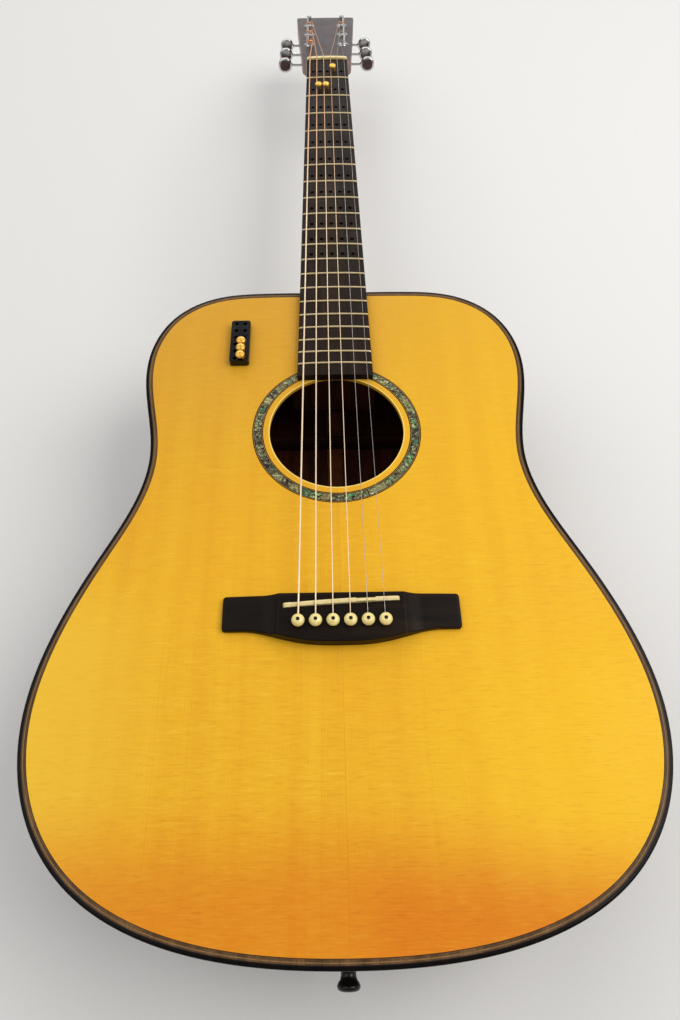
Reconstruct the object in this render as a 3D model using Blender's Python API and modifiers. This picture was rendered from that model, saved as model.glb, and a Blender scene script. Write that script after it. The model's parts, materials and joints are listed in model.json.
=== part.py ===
"""Steel-string acoustic guitar of the square-shouldered dreadnought form.

Working frame of the design, held by the empty guitar_datum: the soundboard's face is the
plane z = 0 with +z out of it, y = 0 is the theoretical saddle line, +y runs to the
headstock and +x is the treble side. The datum then places that frame so that the world
origin is the bottom centre of the whole object. Lengths are in metres.
"""

import math

import bmesh
import bpy
import numpy as np
from mathutils import Matrix, Vector

# ------------------------------------------------------------------ driving dimensions
GAP = 0.0003  # clearance between neighbouring pieces

SCALE_LENGTH = 0.6452  # open string length, nut to theoretical saddle
FRETS = 20
BODY_FRET = 14  # fret that sits over the body's edge

TOP_T = 0.0029  # soundboard
BACK_T = 0.0028
SIDE_T = 0.0021
EDGE_W = 0.0044  # from the body template out to the outer edge
BINDING_W = 0.0021
STRIP_IN = 0.0056  # inner edge of the purfling strip, from the outer edge
BINDING_H = 0.0060
PURFLING_H = 0.0016
LINING_W = 0.0060
LINING_H = 0.0140
DEPTH_NECK = 0.100  # body depth at the neck end
DEPTH_TAIL = 0.122
BACK_RADIUS = 4.57  # arching radius of the back

NUT_WIDTH = 0.0443
BOARD_WIDTH_20 = 0.0591  # fretboard width at the last fret
BOARD_T = 0.0063
BOARD_TOP = GAP + BOARD_T
BOARD_RADIUS = 0.406  # camber

STRING_NAMES = ("e6", "a5", "d4", "g3", "b2", "e1")  # bass to treble
STRING_R = (0.000670, 0.000530, 0.000405, 0.000305, 0.000205, 0.000155)
WOUND_STRINGS = 4
SPREAD_NUT = 0.0375  # between the outer strings
SPREAD_SADDLE = 0.0547
SPREAD_PINS = 0.0553
STRING_Z_NUT = 0.0081  # underside of the middle strings at the nut
STRING_Z_SADDLE = 0.0121

BRIDGE_TOP = GAP + 0.0086
PIN_Y = -0.0123

HEAD_TILT = math.radians(12.5)
HEAD_LENGTH = 0.190
HEAD_T = 0.0145
VENEER_T = 0.0015
HEAD_START_Y = 0.6518
HEAD_START_Z = -0.0010

POST_ROWS = 3
POST_PITCH = 0.041  # along the headstock
POST_SPLAY = 0.0004  # each row sits this much further out than the one before
POST_ALONG = [0.066 + POST_PITCH * k for k in range(POST_ROWS)]
POST_ACROSS = [0.0196 + POST_SPLAY * k for k in range(POST_ROWS)]
POST_R = 0.0030
COIL_R = 0.0036  # string turns on a post
COIL_HEIGHT = 0.0066  # their middle, above the headstock's face

TENON_HALF = 0.0090
TENON_END_Y = 0.2700
TENON_LOW = -0.0800
ROD_Z = -0.0090
ROD_R = 0.0024
ROD_START_Y = 0.1955
ROD_END_Y = 0.6355
ROD_CLEARANCE = 0.0005
ROD_PASSAGE_R = 0.0033  # through the neck block and the upper brace

END_PIN_Z = -0.060
END_PIN_OUT = 0.0140  # how far the end pin stands out of the tail

OUTLINE_SEGMENTS = 28  # along one half of the body
SPAN_SAMPLES = 24  # spline samples between two template points

# Rough extents that the arch cutters trim, and reaches that run clear of the body.
BLANK_LOW, BLANK_HIGH = -0.150, -0.060
CLEAR_Y = 0.35
ABOVE_FACE = 0.002

# Template of the soundboard inside the binding: half width and station, tail to head.
BODY_TEMPLATE = [
    (0.000, -0.1918), (0.060, -0.1883), (0.110, -0.1765), (0.150, -0.1546),
    (0.175, -0.1255), (0.1873, -0.0930), (0.1898, -0.0620), (0.1828, -0.0215),
    (0.1612, 0.0343), (0.1410, 0.0813), (0.1344, 0.1180), (0.1410, 0.1660),
    (0.1463, 0.2050), (0.1415, 0.2370), (0.1280, 0.2608), (0.1010, 0.2786),
    (0.062, 0.2841), (0.000, 0.2842),
]
TAIL_Y = BODY_TEMPLATE[0][1] - EDGE_W
HEEL_Y = BODY_TEMPLATE[-1][1] + EDGE_W + GAP

# ------------------------------------------------------------------ scene and materials
for old in list(bpy.data.objects):
    bpy.data.objects.remove(old, do_unlink=True)

GUITAR = bpy.data.collections.new("acoustic_guitar")
CUTTERS = bpy.data.collections.new("guitar_cutters")
for collection in (GUITAR, CUTTERS):
    bpy.context.scene.collection.children.link(collection)

# Base colour (RGBA), roughness, metallic.
FINISHES = {
    "spruce_top": ((0.83, 0.50, 0.13, 1.0), 0.22, 0.0),
    "rosewood": ((0.16, 0.065, 0.035, 1.0), 0.25, 0.0),
    "ebony": ((0.020, 0.015, 0.013, 1.0), 0.45, 0.0),
    "mahogany": ((0.30, 0.13, 0.06, 1.0), 0.30, 0.0),
    "brace_spruce": ((0.72, 0.52, 0.30, 1.0), 0.70, 0.0),
    "lining_wood": ((0.62, 0.42, 0.24, 1.0), 0.70, 0.0),
    "binding": ((0.10, 0.05, 0.03, 1.0), 0.25, 0.0),
    "abalone": ((0.12, 0.35, 0.33, 1.0), 0.15, 0.2),
    "bone": ((0.86, 0.80, 0.65, 1.0), 0.35, 0.0),
    "pin_plastic": ((0.88, 0.83, 0.70, 1.0), 0.30, 0.0),
    "bronze_wound": ((0.72, 0.47, 0.33, 1.0), 0.30, 1.0),
    "plain_steel": ((0.72, 0.72, 0.72, 1.0), 0.22, 1.0),
    "nickel": ((0.70, 0.69, 0.66, 1.0), 0.18, 1.0),
    "brass_peg": ((0.80, 0.58, 0.22, 1.0), 0.25, 1.0),
    "black_plastic": ((0.015, 0.015, 0.016, 1.0), 0.12, 0.0),
}


def finish(name):
    """The shared Principled material of one finish."""
    if name in bpy.data.materials:
        return bpy.data.materials[name]
    colour, roughness, metallic = FINISHES[name]
    material = bpy.data.materials.new(name)
    material.use_nodes = True
    shader = material.node_tree.nodes["Principled BSDF"]
    shader.inputs["Base Color"].default_value = colour
    shader.inputs["Roughness"].default_value = roughness
    shader.inputs["Metallic"].default_value = metallic
    material.diffuse_color = colour
    return material


# ------------------------------------------------------------------ body outline and back


def mirror_x(points):
    """The points on the other side of the centre line, in reverse order."""
    return [(-x, y) for x, y in reversed(points)]


def closed_spline(knots):
    """Samples of the closed cubic through the knots, spaced by chord length."""
    knots = np.array(knots)
    count = len(knots)
    chords = np.linalg.norm(np.roll(knots, -1, axis=0) - knots, axis=1)
    system = np.zeros((count, count))
    right = np.zeros((count, 2))
    for i in range(count):
        j = (i + 1) % count
        before, after = chords[i - 1], chords[i]
        system[i, i - 1] += before
        system[i, i] += 2 * (before + after)
        system[i, j] += after
        right[i] = 6 * ((knots[j] - knots[i]) / after - (knots[i] - knots[i - 1]) / before)
    bends = np.linalg.solve(system, right)  # second derivatives at the knots

    samples = []
    for i, chord in enumerate(chords):
        j = (i + 1) % count
        for part in np.arange(SPAN_SAMPLES) / SPAN_SAMPLES:
            ahead, behind = (1 - part) * chord, part * chord
            samples.append(
                (bends[i] * ahead**3 + bends[j] * behind**3) / (6 * chord)
                + (knots[i] / chord - bends[i] * chord / 6) * ahead
                + (knots[j] / chord - bends[j] * chord / 6) * behind
            )
    return np.array(samples)


def dense_half():
    """The treble half of the body template, finely sampled from tail to head."""
    closed = closed_spline(BODY_TEMPLATE + mirror_x(BODY_TEMPLATE[1:-1]))
    half = closed[: (len(BODY_TEMPLATE) - 1) * SPAN_SAMPLES + 1]
    half[0, 0] = half[-1, 0] = 0.0
    return half


DENSE = dense_half()


def half_outline(inset):
    """Treble half, moved inward from the body's outer edge by inset (outer edge: 0)."""
    step = np.gradient(DENSE, axis=0)
    step /= np.linalg.norm(step, axis=1)[:, None]
    normal = np.stack([step[:, 1], -step[:, 0]], axis=1)
    normal[0], normal[-1] = (0.0, -1.0), (0.0, 1.0)
    moved = DENSE + normal * (EDGE_W - inset)
    lengths = np.linalg.norm(np.diff(DENSE, axis=0), axis=1)
    run = np.concatenate([[0.0], np.cumsum(lengths)])
    wanted = np.linspace(0.0, run[-1], OUTLINE_SEGMENTS + 1)
    return np.stack([np.interp(wanted, run, moved[:, k]) for k in (0, 1)], axis=1)


def outline(inset):
    half = [tuple(point) for point in half_outline(inset)]
    return half + mirror_x(half[1:-1])


def half_strip(inset_out, inset_in, side, end_tail, end_head):
    """One half of a strip that follows the body, for the treble (+1) or bass (-1) side."""
    outer, inner = half_outline(inset_out), half_outline(inset_in)
    for line in (outer, inner):
        line[0, 0], line[-1, 0] = end_tail, end_head
    loop = np.concatenate([outer, inner[::-1]]) * (side, 1.0)
    return [tuple(point) for point in loop]


def fret_y(fret):
    return SCALE_LENGTH * 2 ** (-fret / 12)


BACK_MID_Y = (fret_y(BODY_FRET) + TAIL_Y) / 2  # middle of the body's length
BACK_HALF = BACK_MID_Y - TAIL_Y


def back_z(x, y):
    """Outer surface of the arched, tapering back."""
    slope = (DEPTH_TAIL - DEPTH_NECK) / (2 * BACK_HALF)
    middle = -(DEPTH_TAIL + DEPTH_NECK) / 2 - BACK_HALF**2 / (2 * BACK_RADIUS)
    run = y - BACK_MID_Y
    return middle + slope * run + (x * x + run * run) / (2 * BACK_RADIUS)


# ------------------------------------------------------------------ neck and string lines


def board_half(y):
    """Half width of the fretboard at station y."""
    rate = (BOARD_WIDTH_20 - NUT_WIDTH) / (SCALE_LENGTH - fret_y(FRETS))
    return (NUT_WIDTH + rate * (SCALE_LENGTH - y)) / 2


def crown(x):
    return -x * x / (2 * BOARD_RADIUS)


def across_strings(place, spread):
    """x of a string by number, 0 (bass) to 5 (treble); halves fall between strings."""
    return spread * (place / 5 - 0.5)


def string_x(place, y):
    spread = SPREAD_SADDLE + (SPREAD_NUT - SPREAD_SADDLE) * y / SCALE_LENGTH
    return across_strings(place, spread)


def string_bottom(place, y):
    level = STRING_Z_SADDLE + (STRING_Z_NUT - STRING_Z_SADDLE) * y / SCALE_LENGTH
    return level + crown(string_x(place, y))


SADDLE_SLOPE = 0.0534


def saddle_y(x):
    """Slanted saddle line: the bass end lies nearer the tail."""
    return 0.0007 + SADDLE_SLOPE * x


def head_point(across, along, out):
    """A point of the tilted headstock: along runs to the tip, out leaves its face."""
    sine, cosine = math.sin(HEAD_TILT), math.cos(HEAD_TILT)
    return Vector(
        (
            across,
            HEAD_START_Y + along * cosine + out * sine,
            HEAD_START_Z - along * sine + out * cosine,
        )
    )


def head_matrix(across=0.0, along=0.0, out=0.0):
    place = Matrix.Translation(head_point(across, along, out))
    return place @ Matrix.Rotation(-HEAD_TILT, 4, "X")


def turn_about(axis, degrees):
    return Matrix.Rotation(math.radians(degrees), 4, axis)


# ------------------------------------------------------------------ flat shapes


def circle(centre_x, centre_y, radius, sides):
    angles = [2 * math.pi * (k + 0.5) / sides for k in range(sides)]
    return [
        (centre_x + radius * math.cos(angle), centre_y + radius * math.sin(angle))
        for angle in angles
    ]


def keyhole(centre_x, centre_y, radius, notch_half, notch_end, sides=10):
    """A pin hole with a slot for the string on its +y side."""
    half_notch_angle = math.asin(notch_half / radius)
    start = math.pi / 2 - half_notch_angle
    sweep = 2 * math.pi - 2 * half_notch_angle
    ring = []
    for k in range(sides + 1):
        angle = start - sweep * k / sides
        ring.append(
            (centre_x + radius * math.cos(angle), centre_y + radius * math.sin(angle))
        )
    notch_y = centre_y + notch_end
    return ring + [(centre_x - notch_half, notch_y), (centre_x + notch_half, notch_y)]


def rounded_rectangle(centre_x, centre_y, width, length, radius):
    """Counterclockwise, with three segments to each corner."""
    points = []
    for quarter, (side_x, side_y) in enumerate(((1, 1), (-1, 1), (-1, -1), (1, -1))):
        corner_x = centre_x + side_x * (width / 2 - radius)
        corner_y = centre_y + side_y * (length / 2 - radius)
        for k in range(4):
            angle = math.radians(90 * quarter + 30 * k)
            points.append(
                (corner_x + radius * math.cos(angle), corner_y + radius * math.sin(angle))
            )
    return points


# ------------------------------------------------------------------ datum


def add_datum():
    """The empty that sets the working frame over the world origin."""
    datum = bpy.data.objects.new("guitar_datum", None)
    datum.empty_display_size = 0.05
    GUITAR.objects.link(datum)
    tip_y = head_point(0.0, HEAD_LENGTH, VENEER_T).y
    low_z = min(back_z(0.0, y) for y in np.linspace(TAIL_Y, 0.0, 400))
    datum.location = (0.0, -(tip_y + TAIL_Y - END_PIN_OUT) / 2, -low_z)
    return datum


DATUM = add_datum()

# ------------------------------------------------------------------ object builders
# A builder called without a finish makes a hidden helper for the Booleans.


def add_object(name, mesh, finish_name=None, place=None):
    obj = bpy.data.objects.new(name, mesh)
    obj.parent = DATUM
    if place is not None:
        obj.matrix_basis = place
    if finish_name is None:
        CUTTERS.objects.link(obj)
        obj.hide_render = True
        obj.display_type = "WIRE"
    else:
        GUITAR.objects.link(obj)
        mesh.materials.append(finish(finish_name))
    return obj


def add_shape(name, shape, finish_name=None, place=None):
    """Turn a finished bmesh into an object, with its faces pointing outward."""
    bmesh.ops.recalc_face_normals(shape, faces=shape.faces)
    mesh = bpy.data.meshes.new(name)
    shape.to_mesh(mesh)
    shape.free()
    return add_object(name, mesh, finish_name, place)


def smooth(obj):
    obj.data.shade_smooth()
    obj.data.set_sharp_from_angle(angle=math.radians(35.0))


def plate(name, loops, low, high, finish_name=None, place=None):
    """A flat outline with its holes, extruded in z from low to high of its own frame."""
    data = bpy.data.curves.new(name, "CURVE")
    data.dimensions = "2D"
    data.fill_mode = "BOTH"
    data.extrude = (high - low) / 2
    for loop in loops:
        spline = data.splines.new("POLY")
        spline.points.add(len(loop) - 1)
        for point, (x, y) in zip(spline.points, loop):
            point.co = (x, y, 0.0, 1.0)
        spline.use_cyclic_u = True
    drawn = bpy.data.objects.new(name + "_drawing", data)
    bpy.context.scene.collection.objects.link(drawn)
    bpy.context.view_layer.update()
    graph = bpy.context.evaluated_depsgraph_get()
    flat = bpy.data.meshes.new_from_object(drawn.evaluated_get(graph))
    bpy.data.objects.remove(drawn, do_unlink=True)
    shape = bmesh.new()
    shape.from_mesh(flat)
    bmesh.ops.remove_doubles(shape, verts=shape.verts, dist=1e-6)
    bmesh.ops.translate(shape, verts=shape.verts, vec=(0, 0, (low + high) / 2))
    bpy.data.meshes.remove(flat)
    return add_shape(name, shape, finish_name, place)


def box(name, low, high, finish_name=None, place=None):
    low, high = Vector(low), Vector(high)
    shape = bmesh.new()
    bmesh.ops.create_cube(shape, size=1.0)
    bmesh.ops.scale(shape, verts=shape.verts, vec=high - low)
    bmesh.ops.translate(shape, verts=shape.verts, vec=(high + low) / 2)
    return add_shape(name, shape, finish_name, place)


def round_bar(name, start, end, radius, sides):
    """A helper: a straight round bar between two points."""
    start, end = Vector(start), Vector(end)
    shape = bmesh.new()
    bmesh.ops.create_cone(
        shape,
        cap_ends=True,
        segments=sides,
        radius1=radius,
        radius2=radius,
        depth=(end - start).length,
    )
    aim = (end - start).to_track_quat("Z", "Y").to_matrix().to_4x4()
    centred = Matrix.Translation((start + end) / 2) @ aim
    bmesh.ops.transform(shape, matrix=centred, verts=shape.verts)
    return add_shape(name, shape)


def turned(name, profile, sides, finish_name, place):
    """A Screw of a profile of (radius, height), running top to bottom on its +x side."""
    mesh = bpy.data.meshes.new(name)
    edges = [(k, k + 1) for k in range(len(profile) - 1)]
    mesh.from_pydata([(radius, 0.0, z) for radius, z in profile], edges, [])
    obj = add_object(name, mesh, finish_name, place)
    screw = obj.modifiers.new("turn", "SCREW")
    screw.axis = "Z"
    screw.steps = screw.render_steps = sides
    screw.use_merge_vertices = True
    screw.merge_threshold = 0.00001
    return obj


def loft(name, sections, finish_name=None):
    """Skin over sections that all have the same number of points, closed at both ends."""
    shape = bmesh.new()
    rings = [[shape.verts.new(point) for point in section] for section in sections]
    count = len(rings[0])
    for ring, following in zip(rings, rings[1:]):
        for k in range(count):
            j = (k + 1) % count
            shape.faces.new((ring[k], ring[j], following[j], following[k]))
    shape.faces.new(rings[0][::-1])
    shape.faces.new(rings[-1])
    return add_shape(name, shape, finish_name)


def combine(obj, others, operation):
    for other in others:
        boolean = obj.modifiers.new(other.name, "BOOLEAN")
        boolean.operation = operation
        boolean.object = other
        boolean.solver = "EXACT"


def cut(obj, *cutters):
    combine(obj, cutters, "DIFFERENCE")


def join(obj, *pieces):
    combine(obj, pieces, "UNION")


def limit(obj, *bounds):
    combine(obj, bounds, "INTERSECT")


def arch_cutter(name, offset, above):
    """Everything below (or above) the back's outer surface raised by offset."""
    shape = bmesh.new()
    bmesh.ops.create_grid(shape, x_segments=6, y_segments=8, size=0.5)
    for vert in shape.verts:
        vert.co.x *= 0.46
        vert.co.y = vert.co.y * 0.54 + BACK_MID_Y
        vert.co.z = back_z(vert.co.x, vert.co.y) + offset
    skin = bmesh.ops.triangulate(shape, faces=shape.faces)["faces"]
    moved = bmesh.ops.extrude_face_region(shape, geom=skin)["geom"]
    far_z = 0.05 if above else -0.25
    for vert in moved:
        if isinstance(vert, bmesh.types.BMVert):
            vert.co.z = far_z
    return add_shape(name, shape)


STRIP_T = 0.0020  # centre strip inside the back
BACK_INSIDE = BACK_T + GAP  # where pieces that rest on the back begin

BELOW_BACK = arch_cutter("cut_below_back", 0.0, False)
ABOVE_BACK = arch_cutter("cut_above_back", BACK_T, True)
BELOW_BINDING = arch_cutter("cut_below_binding", BINDING_H + GAP, False)
ABOVE_BINDING = arch_cutter("cut_above_binding", BINDING_H, True)
BELOW_LINING = arch_cutter("cut_below_lining", BACK_INSIDE, False)
ABOVE_LINING = arch_cutter("cut_above_lining", BACK_INSIDE + LINING_H, True)
ABOVE_STRIP = arch_cutter("cut_above_strip", BACK_INSIDE + STRIP_T, True)
ABOVE_STRIP_GAP = arch_cutter("cut_above_strip_gap", BACK_INSIDE + GAP + STRIP_T, True)

# ------------------------------------------------------------------ soundboard, rosette

SOUNDHOLE_Y = 0.1428
SOUNDHOLE_R = 0.0506
ROSETTE_R_IN = 0.0555
ROSETTE_R_OUT = 0.0636
ROSETTE_T = 0.0012
LEDGE_OVERLAP = 0.0006  # the ledge cutter reaches out past the soundboard's edge

PIN_X = [across_strings(i, SPREAD_PINS) for i in range(6)]
PIN_HOLES = [
    keyhole(x, PIN_Y, radius=0.00275, notch_half=0.00105, notch_end=0.0043) for x in PIN_X
]


def soundhole_ring(radius):
    return circle(0, SOUNDHOLE_Y, radius, 40)


soundboard = plate(
    "soundboard",
    [outline(BINDING_W + GAP), soundhole_ring(SOUNDHOLE_R)] + PIN_HOLES,
    -TOP_T,
    0.0,
    "spruce_top",
)
cut(
    soundboard,
    plate(
        "cut_rosette_groove",
        [soundhole_ring(ROSETTE_R_OUT + GAP), soundhole_ring(ROSETTE_R_IN - GAP)],
        -ROSETTE_T - GAP,
        ABOVE_FACE,
    ),
    plate(
        "cut_purfling_ledge",
        [outline(BINDING_W - LEDGE_OVERLAP), outline(STRIP_IN + GAP)],
        -PURFLING_H - GAP,
        ABOVE_FACE,
    ),
)
rosette_rings = [soundhole_ring(ROSETTE_R_OUT), soundhole_ring(ROSETTE_R_IN)]
plate("rosette", rosette_rings, -ROSETTE_T, 0.0, "abalone")

# ------------------------------------------------------------------ back, sides, edges

MORTISE_HALF = TENON_HALF + GAP
CUT_OVERRUN = 0.0010  # how far the purfling cutter overshoots the binding piece

back = plate("back_plate", [outline(BINDING_W + GAP)], BLANK_LOW, BLANK_HIGH, "rosewood")
cut(back, BELOW_BACK, ABOVE_BACK)

end_pin_hole = round_bar(
    "cut_end_pin_hole",
    (0, TAIL_Y - 0.01, END_PIN_Z),
    (0, TAIL_Y + 0.060, END_PIN_Z),
    0.0046,
    12,
)
for side, name in ((-1, "side_bass"), (1, "side_treble")):
    strip = half_strip(0.0, SIDE_T, side, GAP / 2, MORTISE_HALF)
    wall = plate(name, [strip], BLANK_LOW, -BINDING_H - GAP, "rosewood")
    cut(wall, BELOW_BINDING, end_pin_hole)

# The top binding with the shallow purfling inside it, in one piece.
binding_top = plate(
    "binding_top", [outline(0.0), outline(STRIP_IN)], -BINDING_H, 0.0, "binding"
)
cut(
    binding_top,
    plate(
        "cut_under_purfling",
        [outline(BINDING_W), outline(STRIP_IN + CUT_OVERRUN)],
        -BINDING_H - CUT_OVERRUN,
        -PURFLING_H,
    ),
)
binding_back = plate(
    "binding_back", [outline(0.0), outline(BINDING_W)], BLANK_LOW, BLANK_HIGH, "binding"
)
cut(binding_back, BELOW_BACK, ABOVE_BINDING)

# ------------------------------------------------------------------ linings, end blocks

UNDER_TOP = -TOP_T - GAP  # where pieces beneath the soundboard begin
LINING_LOOPS = [outline(BINDING_W + GAP), outline(BINDING_W + GAP + LINING_W)]
INNER = BINDING_W + GAP + LINING_W + GAP  # inset of the space inside the linings
BLOCK_MIDDLE_TOP = UNDER_TOP - LINING_H - 2 * GAP

top_lining = plate(
    "top_lining", LINING_LOOPS, UNDER_TOP - LINING_H, UNDER_TOP, "lining_wood"
)
cut(
    top_lining,
    box("cut_lining_head", (-MORTISE_HALF, 0.20, -0.10), (MORTISE_HALF, CLEAR_Y, 0.01)),
)
back_lining = plate("back_lining", LINING_LOOPS, BLANK_LOW, BLANK_HIGH, "lining_wood")
cut(back_lining, BELOW_LINING, ABOVE_LINING)


def end_block(name, middle_low, y_tail, y_head, half):
    """A block that reaches the sides between the linings and stops inside them elsewhere."""
    block = plate(name, [outline(INNER)], BLANK_LOW, UNDER_TOP, "mahogany")
    cut(block, BELOW_LINING)
    middle_outline = outline(BINDING_W + GAP - 0.0001)
    join(block, plate(name + "_middle", [middle_outline], middle_low, BLOCK_MIDDLE_TOP))
    limit(block, box(name + "_limit", (-half, y_tail, -0.2), (half, y_head, 0.1)))
    return block


neck_block = end_block("neck_block", -0.0790, 0.2400, CLEAR_Y, 0.038)
cut(
    neck_block,
    box(
        "cut_mortise",
        (-MORTISE_HALF, TENON_END_Y - GAP, TENON_LOW - GAP),
        (MORTISE_HALF, CLEAR_Y, -0.0015),
    ),
    round_bar("cut_block_rod", (0, 0.20, ROD_Z), (0, 0.30, ROD_Z), ROD_PASSAGE_R, 8),
)
tail_block = end_block("tail_block", -0.1000, -CLEAR_Y, -0.1620, 0.035)
cut(tail_block, end_pin_hole)

# ------------------------------------------------------------------ soundboard bracing

X_BRACE_Y = 0.070
X_BRACE_ANGLE = 41
X_BRACE_SIZE = (0.60, 0.008, 0.015)
BRIDGE_PLATE_T = 0.0025
BRIDGE_PLATE_OUTLINE = [(-0.060, 0.008), (-0.092, -0.038), (0.092, -0.038), (0.060, 0.008)]


def top_brace(name, centre_y, angle, size, finish_name="brace_spruce"):
    """A bar under the soundboard; size is its length, width and height."""
    length, width, height = size
    return box(
        name,
        (-length / 2, -width / 2, UNDER_TOP - height),
        (length / 2, width / 2, UNDER_TOP),
        finish_name,
        Matrix.Translation((0, centre_y, 0)) @ turn_about("Z", angle),
    )


x_brace = top_brace("x_brace", X_BRACE_Y, X_BRACE_ANGLE, X_BRACE_SIZE)
join(
    x_brace,
    top_brace("x_brace_other_leg", X_BRACE_Y, -X_BRACE_ANGLE, X_BRACE_SIZE, None),
)
limit(x_brace, plate("x_brace_limit", [outline(INNER)], -0.05, 0.01))

upper_brace = top_brace("upper_transverse_brace", 0.211, 0, (0.272, 0.012, 0.014))
cut(
    upper_brace,
    round_bar("cut_brace_rod", (0, 0.19, ROD_Z), (0, 0.23, ROD_Z), ROD_PASSAGE_R, 8),
)
top_brace("tone_bar", -0.092, -20, (0.180, 0.0075, 0.011))
plate(
    "bridge_plate",
    [BRIDGE_PLATE_OUTLINE] + PIN_HOLES,
    UNDER_TOP - BRIDGE_PLATE_T,
    UNDER_TOP,
    "mahogany",
)

# ------------------------------------------------------------------ back bracing

STRIP_HALF = 0.0075
STRIP_SPACE_HALF = STRIP_HALF + GAP
# Name, station, half length, width, height at the middle.
BACK_BRACES = (
    ("back_brace_upper", 0.200, 0.136, 0.008, 0.0150),
    ("back_brace_waist", 0.085, 0.126, 0.008, 0.0150),
    ("back_brace_lower", -0.070, 0.179, 0.014, 0.0120),
)

centre_strip = box(
    "back_centre_strip",
    (-STRIP_HALF, -0.158, BLANK_LOW),
    (STRIP_HALF, 0.236, BLANK_HIGH),
    "brace_spruce",
)
cut(centre_strip, BELOW_LINING, ABOVE_STRIP)
strip_space = box(
    "cut_strip_space",
    (-STRIP_SPACE_HALF, -0.17, -0.20),
    (STRIP_SPACE_HALF, 0.25, BLANK_HIGH),
)
cut(strip_space, ABOVE_STRIP_GAP)
for name, y, half, width, height in BACK_BRACES:
    brace = box(
        name,
        (-half, y - width / 2, BLANK_LOW),
        (half, y + width / 2, back_z(0, y) + BACK_INSIDE + height),
        "brace_spruce",
    )
    cut(brace, BELOW_LINING, strip_space)

# ------------------------------------------------------------------ neck

NECK_SPANS = 12  # spans of the rounded back of the neck
SHAFT_SPANS = 6
SHAFT_DEPTH_NUT = 0.0146
SHAFT_DEPTH_GROWTH = 0.0020  # from the nut to the body
# Sections that blend into the headstock: y, half width, depth, top z, squareness.
HEAD_BLEND = (
    (HEAD_START_Y + 0.010, 0.0235, 0.0138, -0.0034, 2.8),
    (HEAD_START_Y + 0.026, 0.0250, 0.0132, -0.0072, 4.0),
)
# Levels of the heel: z, half width, length along y.
HEEL_LEVELS = (
    (-0.0050, 0.0275, 0.075), (-0.0120, 0.0262, 0.056), (-0.0200, 0.0240, 0.041),
    (-0.0320, 0.0208, 0.031), (-0.0500, 0.0172, 0.025), (-0.0720, 0.0146, 0.0215),
    (-0.0985, 0.0128, 0.0195),
)
HEEL_OVERRUN = 0.0120  # heel stock on the body's side, cut away at HEEL_Y
HEAD_HALF_NUT = 0.0275  # half width where the headstock's straight taper starts
HEAD_HALF_TIP = 0.0372
HEAD_TAPER_START = 0.014


def rounded_arc():
    """Cosine and sine at the points of a section's rounded side."""
    angles = [math.pi * k / NECK_SPANS for k in range(NECK_SPANS + 1)]
    return [(math.cos(angle), math.sin(angle)) for angle in angles]


def neck_section(y, half, depth, top_z, square):
    """D-shaped section: flat on top, rounded below; square 2 is an ellipse."""
    return [
        (
            half * math.copysign(abs(cosine) ** (2 / square), cosine),
            y,
            top_z - depth * abs(sine) ** (2 / square),
        )
        for cosine, sine in rounded_arc()
    ]


def shaft_sections():
    first = HEEL_Y - 0.0100
    last = HEAD_START_Y - 0.004
    sections = []
    for k in range(SHAFT_SPANS + 1):
        y = first + (last - first) * k / SHAFT_SPANS
        depth = SHAFT_DEPTH_NUT + SHAFT_DEPTH_GROWTH * (last - y) / (last - first)
        half = board_half(min(y, SCALE_LENGTH))
        sections.append(neck_section(y, half, depth, 0.0, 2.25))
    return sections + [neck_section(*blend) for blend in HEAD_BLEND]


def heel_section(z, half, length):
    """A level of the heel, flat towards the body and rounded towards the neck."""
    flat_y = HEEL_Y - HEEL_OVERRUN
    return [(-half, flat_y, z), (half, flat_y, z)] + [
        (
            half * math.copysign(abs(cosine) ** 0.85, cosine),
            HEEL_Y + length * sine**0.95,
            z,
        )
        for cosine, sine in rounded_arc()
    ]


def head_half(along):
    part = (along - HEAD_TAPER_START) / (HEAD_LENGTH - HEAD_TAPER_START)
    return HEAD_HALF_NUT + (HEAD_HALF_TIP - HEAD_HALF_NUT) * part


# Treble half of the headstock: half width and distance along it.
HEAD_OUTLINE_HALF = [
    (0.0225, 0.0003), (0.0237, 0.0060), (0.0260, 0.0115), (0.0283, 0.0180),
    (head_half(0.060), 0.060), (head_half(0.120), 0.120),
    (0.0370, 0.1850), (0.0350, 0.1892), (0.0200, HEAD_LENGTH),
]
# (across, along) by string, bass to treble.
TREBLE_POSTS = list(zip(POST_ACROSS, POST_ALONG))
POSTS = [(-across, along) for across, along in TREBLE_POSTS] + TREBLE_POSTS[::-1]


def post_hole(across, along):
    return circle(across, along, POST_R + 0.0006, 10)


HEAD_LOOPS = [HEAD_OUTLINE_HALF + mirror_x(HEAD_OUTLINE_HALF)]
HEAD_LOOPS += [post_hole(*post) for post in POSTS]

neck = loft("neck", shaft_sections(), "mahogany")
join(
    neck,
    plate("neck_head", HEAD_LOOPS, -HEAD_T, 0.0, place=head_matrix()),
    loft("neck_heel", [heel_section(*level) for level in HEEL_LEVELS]),
)
cut(neck, box("cut_heel_face", (-0.06, 0.20, -0.15), (0.06, HEEL_Y, 0.05)))
join(
    neck,
    box(
        "neck_tenon",
        (-TENON_HALF, TENON_END_Y, TENON_LOW),
        (TENON_HALF, HEEL_Y + 0.006, -0.0066),
    ),
)
cut(
    neck,
    round_bar(
        "cut_rod_bore",
        (0, 0.26, ROD_Z),
        (0, ROD_END_Y + ROD_CLEARANCE, ROD_Z),
        ROD_R + ROD_CLEARANCE,
        8,
    ),
)

plate("headstock_veneer", HEAD_LOOPS, GAP, GAP + VENEER_T, "ebony", head_matrix())

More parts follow.
